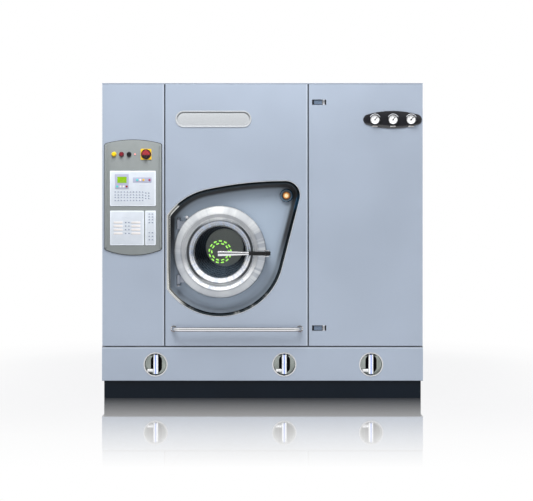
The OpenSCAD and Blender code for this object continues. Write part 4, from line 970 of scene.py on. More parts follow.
blade = lofted("blade", [(x, GRIP_Y, LEVER_Z, half_y, half_z) for x, half_y, half_z in (
    (TIP_X, 0.0030, 0.0120), (TIP_X + 0.0012, 0.0048, 0.0150), (TIP_X + 0.004, 0.0054, 0.0158),
    (TIP_X + 0.020, 0.0055, 0.0160), (-0.150, 0.0055, 0.0113), (-0.101, 0.0055, 0.0094))], power=2.3)
collar = tube("collar", lever_line((-0.1035, -0.1020, -0.1000, -0.0965, -0.0950, -0.0920, -0.0860, -0.0845)),
              [0.0096, 0.0110, 0.0115, 0.0115, 0.0100, 0.0112, 0.0115, 0.0108], 36)
hub = tube("hub", lever_line((0.0203, 0.0210, 0.0230, 0.0440, 0.0480, 0.0500)),
           [0.0124, 0.0132, 0.0135, 0.0135, 0.0122, 0.0090], 36)
neck = slab("neck", rounded_box(LEVER_PIN[0], LEVER_Z, 0.014, 0.018, 0.003), LEVER_PIN[1], GRIP_Y, 0.001)
core = rod("core", *lever_line((-0.085, 0.021)), 0.007)
lever = joined("door_lever_look", blade, collar, pivot("barrel", 0.0135, 0.008, 0.001), neck, core)
GRIP_BLACK = moulded("grip_black", (0.004, 0.004, 0.005), rough=0.36, Specular_IOR_Level=0.30)
finish_piece(lever, lever_finish(), "door_lever", "polished", "door_lever")
finish_piece(hub, GRIP_BLACK, "door_lever", "black_plastic")
finish_piece(pivot("lever_pin_look", 0.0207, 0.0034), CHROME, "loading_door", "polished")
finish_piece(grip(), GRIP_BLACK, "door_lever", "black_plastic", "lever_grip")


# ---- Drum ------------------------------------------------------------------

# The basket in mm, measured back from the front
BASKET_FRONT, BASKET_BACK, BASKET_R, MOUTH_R, SHEET, HUB_R = 200, 820, 480, 200, 4, 134
basket = turned("drum_basket_shell", [
    (MOUTH_R, BASKET_FRONT + SHEET), (MOUTH_R, BASKET_FRONT), (BASKET_R, BASKET_FRONT),
    (BASKET_R, BASKET_BACK), (HUB_R, BASKET_BACK), (0, BASKET_BACK), (0, BASKET_BACK - SHEET),
    (HUB_R, BASKET_BACK - SHEET), (BASKET_R - SHEET, BASKET_BACK - SHEET),
    (BASKET_R - SHEET, BASKET_FRONT + SHEET), (MOUTH_R, BASKET_FRONT + SHEET)],
    AXIS, steps=180, radius=6, grain=True)
finish_piece(basket, perforated_steel(), "drum", "stainless", "drum_basket")


def drum_rib(turn):
    """A lifting rib along the drum, its hump turned about the axis from the bottom of the drum."""
    side = np.array([math.cos(turn), -math.sin(turn)])
    up = np.array([math.sin(turn), math.cos(turn)])
    q = soften([(-0.058, -0.477), (-0.050, -0.470), (-0.016, -0.412), (0.0, -0.408), (0.016, -0.412),
                (0.050, -0.470), (0.058, -0.477)], 0.012)
    outline = np.array(AXIS) + q[:, :1] * side + q[:, 1:] * up
    return bar("rib", outline, FRONT + 0.205, FRONT + 0.815, closed=False)


ribs = [drum_rib(math.radians(12 + 120 * k)) for k in range(3)]
finish_piece(joined("drum_ribs", *ribs), STAINLESS, "drum", "stainless")
hub_plate = turned("hub_plate", [
    (0, 806), (40, 806), (44, 808), (125, 809), (130, 812), (131, 816.5), (0, 816.5)], AXIS, steps=120)
# The hub plate glows faintly, as painted light that brightens it inside the drum.
HUB_STEEL = lathe("hub_plate_steel", (0.80, 0.86, 0.83), 0.42, 0.004, 0.0003, AXIS, 0.25,
                  Emission_Color=(0.80, 0.88, 0.84), Emission_Strength=0.09)
finish_piece(hub_plate, HUB_STEEL, "drum", "stainless")
shaft = turned("shaft", [(0, 818), (45, 818), (45, 864), (40, 866), (40, 1210), (38, 1212), (0, 1212)], AXIS,
               steps=64, radius=0.8)
finish_piece(shaft, STAINLESS, "drum", "stainless")


# ---- Guard rail and name plate ---------------------------------------------

RAIL_Z, RAIL_Y, RAIL_R, RAIL_BEND = 0.436, FRONT - 0.0465, 0.0135, 0.0405
RAIL_X0, RAIL_X1 = -0.5525, 0.2325
RAIL_FOOT_Y = FRONT - 0.0005


def rail_finish():
    """Polished tube with faint lines round it, a painted brownish reflection along its underside, painted
    dark reflections along its top and just above its middle, and painted darker reflections at its bends.
    """
    m = Mat("rail_steel", Metallic=1.0)
    p = m.point()
    x, _, z = m.axes(p)
    marks = m.noise(m.stretch(p, 0.4, 30.0, 30.0), 4.0)
    bright = m.mix(marks, (0.74, 0.75, 0.77), (0.90, 0.91, 0.93))
    # Painted reflections: brownish along the underside, dark lines along the top and just above the middle,
    # and darker at the bends.
    warm_reflection = m.mix(marks, (0.20, 0.16, 0.15), (0.34, 0.27, 0.25))
    under = 1.0 - z.step(RAIL_Z - 0.0105, RAIL_Z - 0.0060)
    crest = (z - RAIL_Z).step(0.0095, 0.0115)
    dark_reflection_lines = crest.most(1.0 - abs(z - RAIL_Z - 0.0012).step(0.0008, 0.0022))
    steel = m.mix(dark_reflection_lines * 0.7, m.mix(under, bright, warm_reflection), (0.20, 0.19, 0.19))
    from_middle = abs(x - (RAIL_X0 + RAIL_X1) / 2)
    m.set("Base Color", m.mix(from_middle.step(0.360, 0.385) * 0.30, steel, (0.20, 0.20, 0.21)))
    m.set("Roughness", marks * 0.06 + 0.10)
    return m.data


def rail_end(x, inward):
    """The quarter bend from the rail's straight run to the foot at x."""
    q = np.linspace(0.0, math.pi / 2, 12)
    return np.column_stack([x + inward * RAIL_BEND * (1 - np.sin(q)), RAIL_Y + RAIL_BEND * (1 - np.cos(q)),
                            0 * q + RAIL_Z])


rail = tube("rail", np.concatenate([
    [(RAIL_X0, RAIL_FOOT_Y, RAIL_Z)], rail_end(RAIL_X0, 1)[::-1], rail_end(RAIL_X1, -1),
    [(RAIL_X1, RAIL_FOOT_Y, RAIL_Z)]]), RAIL_R, 48)
FLANGE = [(13.4, 0), (13.4, -4.6), (14.4, -4), (18.8, -4), (20.3, -2.6), (20.5, 0), (13.4, 0)]
flanges = [turned("flange", FLANGE, (x, RAIL_Z), steps=48, radius=0.6) for x in (RAIL_X0, RAIL_X1)]
finish_piece(joined("guard_rail_look", rail, *flanges), rail_finish(), "cabinet", "polished", "guard_rail")

BADGE_X, BADGE_Z, BADGE_W, BADGE_H = -0.3055, 1.742, 0.474, 0.103


def badge_finish():
    """Silver lacquer with a fine grain, with painted shade in the upper part of the hollow inside its rim."""
    m = Mat("name_plate_silver", Metallic=0.35)
    p = m.point()
    grain = m.noise(m.stretch(p, 3.0, 1.0, 90.0), 40.0, 4.0)
    _, y, z = m.axes(p)
    # Painted shade in the upper part of the hollow inside the rim.
    valley_shade = y.step(FRONT - 0.0030, FRONT - 0.0024) * (z - BADGE_Z).step(-0.020, 0.030)
    lacquer = m.mix(grain, (0.43, 0.45, 0.47), (0.57, 0.59, 0.61))
    m.set("Base Color", m.mix(valley_shade * 0.85, lacquer, (0.06, 0.065, 0.07)))
    m.set("Roughness", grain * 0.14 + 0.22)
    m.bump(grain, 0.0002, 0.3)
    return m.data


badge = swept("name_plate_look", rounded_box(BADGE_X, BADGE_Z, BADGE_W, BADGE_H, BADGE_H / 2, 16), [
    (inset * MM, FRONT - proud * MM) for inset, proud in (
        (0, 0.2), (0, 3.0), (0.6, 3.7), (1.8, 4.0), (5.2, 4.0), (6.6, 3.5), (8.0, 2.0), (15.0, 2.0),
        (17.0, 3.0), (20.0, 3.4))], cap_back=True)
finish_piece(badge, badge_finish(), "cabinet", "stainless", "name_plate")


# ---- Sight ports and level tubes -------------------------------------------

PORT_X = (-0.666, 0.136, 0.677)
PORT_Z = 0.213
PORT_BACK = -0.618
TUBE_Y, TUBE_R = FRONT + 0.0145, 0.0148
WELL_BACK = FRONT + 0.029


def port_finish():
    """Polished cup: bright rim, and a grey-green floor with soft clouds."""
    m = Mat("sight_port_steel", Metallic=1.0)
    p = m.point()
    _, y, _ = m.axes(p)
    cloud = m.noise(m.stretch(p, 1.0, 1.0, 0.4), 34.0, 4.0)
    rim = m.mix(cloud, (0.62, 0.63, 0.65), (0.92, 0.92, 0.93))
    floor = m.mix(cloud, (0.13, 0.15, 0.14), (0.52, 0.56, 0.53))
    m.set("Base Color", m.mix(y.step(FRONT + 0.022, FRONT + 0.027), rim, floor))
    m.set("Roughness", cloud * 0.14 + 0.12)
    return m.data


def tube_finish():
    """White level tube that glows faintly as painted light, with a blue stripe down its middle and a thin
    line at each side of it.
    """
    m = Mat("level_tube_white", Roughness=0.3, Coat_Weight=0.3, Coat_Roughness=0.1, Emission_Strength=0.22)
    u, _, _ = m.axes(m.grain())
    stripe = abs(u - 0.25)
    blue = 1.0 - stripe.step(0.040, 0.048)
    line = stripe.between(0.066, 0.070, 0.078, 0.082)
    white = m.mix(m.noise(m.point(), 60.0), (0.80, 0.82, 0.84), (0.92, 0.93, 0.94))
    striped = m.mix(blue * 0.85 + line * 0.35, white, (0.10, 0.20, 0.62))
    m.set("Base Color", striped)
    # The emission makes the tube glow, as painted light.
    m.set("Emission Color", striped)
    return m.data


def level_tube(x):
    """An upright tube drawn in at its ends, whose UV is the turn round it, from 0 to 1, and the height."""
    a = np.linspace(0.0, 2 * math.pi, 41)
    z = np.array([-0.0595, -0.0590, 0.0590, 0.0595])
    r = np.array([TUBE_R - 0.0006, TUBE_R, TUBE_R, TUBE_R - 0.0006])[:, None]
    grid = np.stack([x - r * np.cos(a), TUBE_Y - r * np.sin(a), (PORT_Z + z)[:, None] + 0 * a], axis=2)
    return make_mesh("level_tube", grid.reshape(-1, 3), grid_faces(4, 41, closed=False),
                     uv=grid_uv(a / (2 * math.pi), z))


ports, tubes, shades, fittings = [], [], [], []
for x in PORT_X:
    ports.append(turned("port", [
        (69.2, -3.6), (70.2, -4), (72.5, -3.9), (74.8, -2.6), (75.5, -1.6), (75.5, -0.3), (71.2, -0.3),
        (71.2, 32), (0, 32), (0, 29), (60, 29), (65.5, 27.5), (67.5, 23), (67.8, 2), (68.2, -2),
        (69.2, -3.6)], (x, PORT_Z), steps=120, radius=0.7))
    for z in (PORT_Z - 0.045, PORT_Z + 0.045):
        ports.append(rod("union", (x, FRONT + 0.030, z), (x, PORT_BACK, z), 0.008))
    fittings.append(rod("fitting", (x - 0.053, FRONT + 0.017, PORT_Z - 0.040),
                        (x - 0.016, FRONT + 0.017, PORT_Z - 0.040), 0.0098, 0.0015))
    tubes.append(level_tube(x))
    # Near-black plates that stand for shade: one in the slot behind each tube, and a strip along the top of
    # that slot.
    shades.append(slab("well", rounded_box(x + 0.002, PORT_Z, 0.070, 0.112, 0.034, 12), WELL_BACK,
                       FRONT + 0.0275, 0.0008))
    shades.append(slab("lintel", rounded_box(x, PORT_Z + 0.0555, 0.074, 0.0085, 0.004), WELL_BACK,
                       FRONT + 0.0270, 0.0008))
PORT_SHADE_BLACK = moulded("port_well_black", (0.003, 0.003, 0.004), rough=0.75, Specular_IOR_Level=0.05)
PALE_STEEL = lathe("fitting_steel", (0.94, 0.95, 0.96), 0.30, 0.002, 0.0001, (0.0, PORT_Z), 0.45)
finish_piece(joined("sight_ports_look", *ports), port_finish(), "cabinet", "polished", "sight_ports")
finish_piece(joined("level_tubes_look", *tubes), tube_finish(), "cabinet", "white_tube", "level_tubes")
finish_piece(joined("port_shades", *shades), PORT_SHADE_BLACK, "cabinet", "gloss_black")
finish_piece(joined("port_fittings", *fittings), PALE_STEEL, "cabinet", "polished")


# ---- Control panel ---------------------------------------------------------

BEZEL_X, BEZEL_Z0, BEZEL_Z1, BEZEL_HALF = -0.8055, 0.895, 1.611, 0.177
BEZEL_TOP_R, BEZEL_FOOT_R, SHOULDER = 0.639, 0.465, 0.012
ON_DOOR = FRONT - 0.0003
BEZEL_FACE = FRONT - 0.008


def bezel_outline(g):
    """Two upright sides between a shallow arc above and one below, with round shoulders, grown by g."""
    half, top_r, foot_r = BEZEL_HALF + g, BEZEL_TOP_R + g, BEZEL_FOOT_R + g
    top_c, foot_c = BEZEL_Z1 - BEZEL_TOP_R, BEZEL_Z0 + BEZEL_FOOT_R
    ta, fa = (math.degrees(math.asin((half - SHOULDER) / r)) for r in (top_r, foot_r))
    top = arc(BEZEL_X, top_c, top_r, 90 - ta, 90 + ta, 24)
    foot = arc(BEZEL_X, foot_c, foot_r, 270 - fa, 270 + fa, 24)
    z1, z0 = top_c + math.sqrt(top_r ** 2 - half ** 2), foot_c - math.sqrt(foot_r ** 2 - half ** 2)
    right, left = BEZEL_X + half, BEZEL_X - half
    t = np.linspace(0.0, 1.0, 6)[1:, None]
    return np.concatenate([
        foot, curve(foot[-1], np.array([right, z0]), np.array([right, z0 + SHOULDER]), t),
        curve(np.array([right, z1 - SHOULDER]), np.array([right, z1]), top[0], t)[:-1], top,
        curve(top[-1], np.array([left, z1]), np.array([left, z1 - SHOULDER]), t),
        curve(np.array([left, z0 + SHOULDER]), np.array([left, z0]), foot[0], t)[:-1]])


bezel = slab("bezel", bezel_outline, ON_DOOR, BEZEL_FACE, 0.0022)
lips = [slab("lip", rounded_box(x, (BEZEL_Z0 + BEZEL_Z1) / 2 + 0.005, 0.014, 0.640, 0.0068),
             BEZEL_FACE + 0.001, FRONT - 0.015, 0.0055) for x in (BEZEL_X - 0.170, BEZEL_X + 0.170)]
finish_piece(joined("control_bezel_look", bezel, *lips), BEZEL, "control_door", "bezel_grey", "control_bezel")
seal = swept("bezel_seal", bezel_outline, [
    (-0.0034, ON_DOOR), (-0.0028, FRONT - 0.0036), (-0.0014, FRONT - 0.0042), (-0.0002, FRONT - 0.0034),
    (-0.0002, ON_DOOR), (-0.0034, ON_DOOR)], cap_front=False)
finish_piece(seal, RUBBER, "control_door", "rubber")

# Key panels: left, foot, width and height; a raised edge round a field
PANEL_FACE = BEZEL_FACE - 0.003
KEY_FACE = PANEL_FACE - 0.0004
FIELD_INSET = 0.007
panels, fields = [], []
for x0, z0, w, h in ((-0.9489, 1.2000, 0.2848, 0.2190), (-0.9483, 0.9560, 0.2106, 0.2155),
                     (-0.7296, 0.9560, 0.0654, 0.2155)):
    x, z = x0 + w / 2, z0 + h / 2
    panels.append(slab("panel", rounded_box(x, z, w, h, 0.005), BEZEL_FACE, PANEL_FACE, 0.0008))
    fields.append(slab("field", rounded_box(x, z, w - 2 * FIELD_INSET, h - 2 * FIELD_INSET, 0.004),
                       PANEL_FACE, KEY_FACE, 0.0003))
EDGE_WHITE = moulded("membrane_edge", srgb(216, 222, 230), rough=0.3, grain=1500.0, depth=0.00002)
finish_piece(joined("membrane_panels_look", *panels), EDGE_WHITE, "control_door", "membrane",
             "membrane_panels")

# Keys: twelve columns over the upper panel, two beside the labels and two down the narrow panel
KEY_X0, KEY_PITCH = -0.9147, 0.0190
KEY_ROWS = (1.2867, 1.2686, 1.2531, 1.2344)
LABEL_ROWS = (1.0973, 1.0749, 1.0524, 1.0294)
key_places = [(KEY_X0 + KEY_PITCH * i, z) for i in range(10) for z in KEY_ROWS]
key_places += [(KEY_X0 + KEY_PITCH * i, z - 0.006) for i in (10, 11) for z in KEY_ROWS[:3]]
key_places += [(x, z) for x in (-0.8499, -0.8293) for z in LABEL_ROWS]
key_places += [(x, z) for x in (-0.7029, -0.6835)
               for z in (1.1496, 1.1316, 1.1147, 1.0967, 1.0338, 1.0113, 0.9895)]
mark_places = [(x - 0.0015, z + 0.0012) for x, z in key_places]
label_places = [(x, z) for x in (-0.8976, -0.7873) for z in LABEL_ROWS]


def on_panel(name, places, w, h, r, back, proud, edge):
    """Rounded plates on a key panel's face, from back behind it to proud in front of it."""
    return tiles(name, places, w, h, r, KEY_FACE + back, KEY_FACE - proud, edge)


label_shades = joined(
    "label_shades", on_panel("label_rims", label_places, 0.0605, 0.0170, 0.0060, 0.0001, 0.0002, 0.0001),
    on_panel("heading_line", [(-0.8440, 1.1272)], 0.062, 0.0050, 0.0020, 0.0, 0.0002, 0.0001),
    on_panel("top_heading_line", [(-0.7400, 1.3284)], 0.054, 0.0030, 0.0012, 0.0, 0.0002, 0.0001))
display_frame = joined("display_frame_look", *(
    slab("frame", rounded_box(x, z, w, h, 0.003), KEY_FACE, FRONT - proud, 0.0006) for x, z, w, h, proud in (
        (-0.8746, 1.3531, 0.0853, 0.0916, 0.0136), (-0.7480, 1.3618, 0.1165, 0.0331, 0.0122))))
screen = slab("display_screen", rounded_box(-0.8739, 1.3627, 0.058, 0.0386, 0.0015), FRONT - 0.0130,
              FRONT - 0.0143, 0.0004)


def screen_finish():
    """A lit green screen with faint rows of darker cells."""
    m = Mat("display_screen", Roughness=0.22, Coat_Weight=0.5, Coat_Roughness=0.05, Emission_Strength=0.25)
    p = m.point()
    _, _, z = m.axes(p)
    rows = abs((z / 0.0075).math("FRACT") - 0.5).step(0.18, 0.26)
    cells = m.noise(m.stretch(p, 700.0, 0.0, 133.0), 1.0, 1.0)
    colour = m.mix((1.0 - rows) * cells.step(0.48, 0.56) * 0.55, (0.19, 0.37, 0.002), (0.06, 0.14, 0.004))
    m.set("Base Color", colour)
    m.set("Emission Color", colour)
    return m.data


for piece, material in (
        (joined("membrane_fields", *fields), MEMBRANE),
        (on_panel("membrane_keys", key_places, 0.0128, 0.0094, 0.0025, 0.0, 0.0007, 0.0006),
         moulded("key_grey", srgb(176, 184, 197), rough=0.4)),
        (on_panel("key_marks", mark_places, 0.0062, 0.0040, 0.0012, -0.0006, 0.0009, 0.0002),
         moulded("key_mark", srgb(62, 72, 92), rough=0.4)),
        (on_panel("label_strips", label_places, 0.057, 0.0135, 0.0045, 0.0, 0.0005, 0.0004), LABEL),
        (label_shades, moulded("label_rim", srgb(190, 196, 207), rough=0.4)),
        (display_frame, moulded("display_frame", srgb(164, 167, 188), rough=0.35)),
        (screen, screen_finish())):
    finish_piece(piece, material, "control_door", "membrane")

# Coloured square keys, in a row beside the display and a row under it
BESIDE_Z, UNDER_Z = 1.3622, 1.3216
TEAL, ROSE, KEY_RED, KEY_YELLOW, PLUM = (
    moulded("key_" + name, srgb(*colour), rough=0.3) for name, colour in (
        ("teal", (70, 196, 196)), ("rose", (246, 222, 226)), ("red", (136, 16, 24)),
        ("yellow", (232, 186, 40)), ("plum", (160, 66, 96))))
for name, material, places in (
        ("teal_keys", TEAL, ((-0.9029, UNDER_Z), (-0.7789, BESIDE_Z))),
        ("rose_keys", ROSE, ((-0.7596, BESIDE_Z),)),
        ("white_keys", LABEL, ((-0.8836, UNDER_Z), (-0.8643, UNDER_Z))),
        ("red_key", KEY_RED, ((-0.8449, UNDER_Z),)),
        ("yellow_key", KEY_YELLOW, ((-0.7402, BESIDE_Z),)),
        ("plum_key", PLUM, ((-0.7029, BESIDE_Z),))):
    finish_piece(tiles(name, places, 0.0125, 0.0125, 0.0035, FRONT - 0.0112, FRONT - 0.0142, 0.0008),
                 material, "control_door", "membrane")


# ---- Buttons and main switch -----------------------------------------------

BUTTON_Z = 1.522
BUTTON_X = (-0.9240, -0.8772, -0.8304)
STATUS_LAMP_X = -0.7932
SWITCH = (-0.7245, BUTTON_Z)


def status_lamp_finish():
    """A softly lit red lens with a cloudy tone."""
    m = Mat("status_lamp_red", Roughness=0.3, Coat_Weight=0.6, Coat_Roughness=0.05, Emission_Strength=0.5)
    glow = m.noise(m.point(), 140.0, 2.0)
    m.set("Base Color", m.tones(glow, (0.9, 0.30, 0.26), 0.85, 1.1))
    m.set("Emission Color", m.tones(glow, (0.9, 0.30, 0.26), 0.8, 1.1))
    return m.data


def collar_finish():
    """Yellow, dark red and black collars from left to right, each with a satin tone that varies with wear."""
    m = Mat("collar_satin", Roughness=0.35)
    p = m.point()
    x, _, _ = m.axes(p)
    wear = m.noise(p, 300.0)
    yellow = m.mix(wear, (0.66, 0.46, 0.03), (0.80, 0.58, 0.06))
    red = m.mix(wear, (0.075, 0.008, 0.014), (0.16, 0.018, 0.030))
    black = m.mix(wear, (0.006, 0.006, 0.008), (0.03, 0.03, 0.034))
    second, third = (x.step(left + 0.022, left + 0.024) for left in BUTTON_X[:2])
    m.set("Base Color", m.mix(third, m.mix(second, yellow, red), black))
    return m.data


def switch_plate_finish():
    """Yellow plate with a dark printed disc under the knob."""
    m = Mat("switch_plate_yellow", Roughness=0.4)
    p = m.point()
    radius, _ = m.polar(*SWITCH)
    tone = m.noise(p, 40.0) * 0.7 + m.noise(p, 1200.0, 2.0) * 0.3
    disc = m.mix(tone, (0.022, 0.004, 0.006), (0.05, 0.010, 0.012))
    yellow = m.mix(tone, (0.66, 0.40, 0.012), (0.82, 0.52, 0.02))
    m.set("Base Color", m.mix(radius.step(0.0312, 0.0318), disc, yellow))
    return m.data


def knob_finish():
    """Gloss red above and near-black below, with a dark skirt round it."""
    m = Mat("switch_knob_red", Roughness=0.45, Coat_Weight=0.15, Coat_Roughness=0.2)
    radius, _ = m.polar(*SWITCH)
    p = m.point()
    _, _, z = m.axes(p)
    lower = 1.0 - (z + m.noise(p, 90.0, 2.0) * 0.006).step(BUTTON_Z - 0.006, BUTTON_Z + 0.002)
    dark = lower.most(radius.step(0.0240, 0.0250))
    m.set("Base Color", m.mix(dark, (0.30, 0.022, 0.030), (0.016, 0.003, 0.004)))
    m.bump(m.noise(p, 700.0, 2.0), 0.00005, 0.4)
    return m.data


led = turned("status_lamp", [(0, -12.4), (3, -12.0), (5.2, -10.4), (5.6, -7.8), (0, -7.8)],
             (STATUS_LAMP_X, BUTTON_Z), steps=32)
finish_piece(led, status_lamp_finish(), "control_door", "red_plastic")
collars, blocks = [], []
for x in BUTTON_X:
    collars.append(turned("collar", [(11.4, -8.4), (11.4, -13.6), (12.2, -14), (14.0, -13.6), (15.4, -11.4),
                                     (15.5, -8.4), (11.4, -8.4)], (x, BUTTON_Z), steps=56, radius=0.5))
    blocks.append(slab("contact_block", rounded_box(x, BUTTON_Z, 0.030, 0.040, 0.002), FRONT + 0.048,
                       FRONT + 0.0345, 0.001, both=True))
    blocks += [rod("clamp_screw", (x + dx, FRONT + 0.046, z), (x + dx, FRONT + 0.0495, z), 0.003)
               for z in (BUTTON_Z + 0.013, BUTTON_Z - 0.013) for dx in (-0.009, 0.009)]
finish_piece(joined("button_collars_look", *collars), collar_finish(), "control_door", "bezel_grey",
             "button_collars")
finish_piece(joined("contact_blocks", *blocks), BLACK, "control_door", "black_plastic")
for colour, x, out, material in (("yellow", BUTTON_X[0], 24, YELLOW), ("red", BUTTON_X[1], 24, RED),
                                 ("black", BUTTON_X[2], 22, BLACK)):
    name = colour + "_button"
    cap = turned(name + "_look", [
        (0, 0.6 - out), (5.5, 0.4 - out), (8.2, -out), (10.2, 1.2 - out), (11, 3.2 - out), (11, 29.7),
        (0, 29.7)], (x, BUTTON_Z), steps=56, radius=1.0)
    finish_piece(cap, material, name, colour + "_plastic", name)

plate = slab("plate", rounded_box(*SWITCH, 0.067, 0.067, 0.003), BEZEL_FACE - 0.0003, BEZEL_FACE - 0.004,
             0.0008)
finish_piece(plate, switch_plate_finish(), "control_door", "yellow_plastic", "switch_plate")
skirt = turned("skirt", [(0, -12.3), (27, -12.3), (27, -18.2), (25.6, -20), (23.4, -21.2), (21.5, -21.2),
                         (20, -19.2), (0, -19.2)], SWITCH, steps=80, radius=0.8)
handle = slab("handle", rounded_box(*SWITCH, 0.012, 0.046, 0.004), FRONT - 0.0190, FRONT - 0.0383, 0.0022)
dome = turned("dome", [(0, -27), (8, -26.4), (14, -24.2), (18, -21), (19, -19), (0, -19)], SWITCH, steps=64)
stem = rod("stem", (SWITCH[0], FRONT - 0.013, BUTTON_Z), (SWITCH[0], FRONT + 0.020, BUTTON_Z), 0.007)
finish_piece(joined("switch_knob_look", skirt, handle, dome, stem), knob_finish(), "main_switch",
             "red_plastic", "switch_knob")


# ---- Gauges ----------------------------------------------------------------

GAUGE_Z = 1.738
GAUGE_PITCH = 0.1125
GAUGE_X = (0.700, 0.8125, 0.925)
GAUGE_PANEL_X = 0.810
GAUGE_PANEL_HALF, GAUGE_PANEL_END_R, GAUGE_PANEL_SAG = 0.1825, 0.033, 0.055


def gauge_outline(g):
    """Arched long edges that run smoothly into round ends, grown by g."""
    end_r, sag = GAUGE_PANEL_END_R, GAUGE_PANEL_SAG
    end_x = GAUGE_PANEL_HALF - end_r
    arc_r = (end_x ** 2 + sag ** 2 - end_r ** 2) / (2 * (sag - end_r))
    half = math.degrees(math.atan2(end_x, arc_r - sag))
    x, z = GAUGE_PANEL_X, GAUGE_Z
    return np.concatenate([
        arc(x + end_x, z, end_r + g, half - 90, 90 - half, 20),
        arc(x, z + sag - arc_r, arc_r + g, 90 - half, 90 + half, 24),
        arc(x - end_x, z, end_r + g, 90 + half, 270 - half, 20),
        arc(x, z + arc_r - sag, arc_r + g, 270 - half, 270 + half, 24)])


def dial_finish(name, x):
    """White card that glows faintly as painted light, with a scale of short lines round it and a grey band
    above the middle.
    """
    m = Mat(name, Roughness=0.4, Emission_Strength=0.30)
    radius, angle = m.polar(x, GAUGE_Z)
    turn = angle / (2 * math.pi) + 1.0
    fine = turn.wave(60.0).step(0.36, 0.40) * radius.between(0.0218, 0.0222, 0.0248, 0.0252)
    bold = turn.wave(12.0).step(0.44, 0.46) * radius.between(0.0190, 0.0194, 0.0248, 0.0252)
    off_foot = abs(turn.math("FRACT") - 0.75).step(0.10, 0.11)
    lines = fine.most(bold) * off_foot
    off_top = abs(turn.math("FRACT") - 0.25)
    band = (1.0 - off_top.step(0.17, 0.18)) * radius.between(0.0150, 0.0154, 0.0182, 0.0186)
    paper = m.mix(m.noise(m.point(), 120.0), (0.90, 0.90, 0.91), (0.96, 0.96, 0.96))
    card = m.mix(radius.step(0.0262, 0.0268), paper, (0.02, 0.02, 0.024))
    face = m.mix(lines, m.mix(band * 0.65, card, (0.25, 0.27, 0.30)), (0.02, 0.02, 0.022))
    m.set("Base Color", face)
    # The emission makes the card glow, as painted light.
    m.set("Emission Color", face)
    return m.data


def gauge_case_finish():
    """Black cases, each with a painted highlight in an arc along the top of its rim."""
    m = Mat("gauge_case_satin", Metallic=0.6)
    p = m.point()
    x, _, z = m.axes(p)
    across = ((x - (GAUGE_X[0] - GAUGE_PITCH / 2)) / GAUGE_PITCH).math("FRACT") - 0.5
    dx, dz = across * GAUGE_PITCH, z - GAUGE_Z
    radius = (dx * dx + dz * dz).math("SQRT")
    # A painted highlight in an arc along the top of each rim.
    top_highlight = (dz / radius).step(0.38, 0.52) * radius.between(0.0318, 0.0324, 0.0352, 0.0357)
    haze = m.noise(p, 60.0)
    black = m.mix(haze, (0.006, 0.006, 0.008), (0.022, 0.022, 0.028))
    m.set("Base Color", m.mix(top_highlight, black, (0.86, 0.88, 0.92)))
    m.set("Roughness", haze * 0.12 + 0.16)
    return m.data


def needle(name, x, rise):
    """A pointer along its angle above level, with a short tail, and the boss that carries it."""
    along = np.array([math.cos(rise), math.sin(rise)])
    across = np.array([-math.sin(rise), math.cos(rise)])
    q = np.array([(-0.008, 0.0014), (-0.0078, -0.0018), (0.0, -0.0020), (0.0195, -0.0022), (0.024, 0.0),
                  (0.0195, 0.0022), (0.0, 0.0020)])
    outline = np.array([x, GAUGE_Z]) + q[:, :1] * along + q[:, 1:] * across
    boss = turned("boss", [(2.3, -10.7), (5, -10.7), (5, -14.4), (4.2, -15.3), (2.3, -15.3), (2.3, -10.7)],
                  (x, GAUGE_Z), steps=36, radius=0.4)
    return joined(name + "_look", bar("blade", outline, FRONT - 0.0134, FRONT - 0.0147), boss)


finish_piece(slab("gauge_panel_look", gauge_outline, ON_DOOR, FRONT - 0.006, 0.0024), GLOSS_BLACK,
             "service_door", "gloss_black", "gauge_panel")
cases, lenses = [], []
for name, x, rise in zip(("left_needle", "middle_needle", "right_needle"), GAUGE_X, (48, 52, 46)):
    centre = (x, GAUGE_Z)
    cases.append(turned("case", [
        (0, -6.3), (36, -6.3), (36, -18.6), (35, -21.6), (33.2, -23.2), (31.8, -22.8), (30.4, -21.2),
        (30, -19.5), (30, -10.3), (2, -10.3), (2, -16.0), (1.4, -16.3), (0, -16.3)],
        centre, steps=96, radius=0.5))
    lenses.append(turned("lens", [(0, -20.6), (20, -20.2), (30.2, -19.4), (30.2, -18.4), (0, -18.8)], centre,
                         steps=72, radius=0.3))
    dial = turned("dial_%d" % round(x * 1000), [
        (2.2, -10.5), (29.9, -10.5), (29.9, -10.35), (2.2, -10.35), (2.2, -10.5)], centre, steps=72, radius=0)
    finish_piece(dial, dial_finish(dial.name, x), "service_door", "white_tube")
    finish_piece(needle(name, x, math.radians(rise)), BLACK, name, "needle_black", name)
LENS = clear_glass("gauge_lens_glass", (0.30, 0.31, 0.32), 0.02)
strips = tiles("gauge_label_strips", [(x, GAUGE_Z - 0.0420) for x in GAUGE_X], 0.034, 0.0085, 0.003,
               FRONT - 0.0058, FRONT - 0.0064, 0.0003)
finish_piece(joined("gauge_cases_look", *cases), gauge_case_finish(), "service_door", "black_plastic",
             "gauge_bodies")
finish_piece(joined("gauge_lenses", *lenses), LENS, "service_door", "clear_glass")
finish_piece(strips, LABEL, "service_door", "white_tube")


# ---- Carried-over shapes ---------------------------------------------------

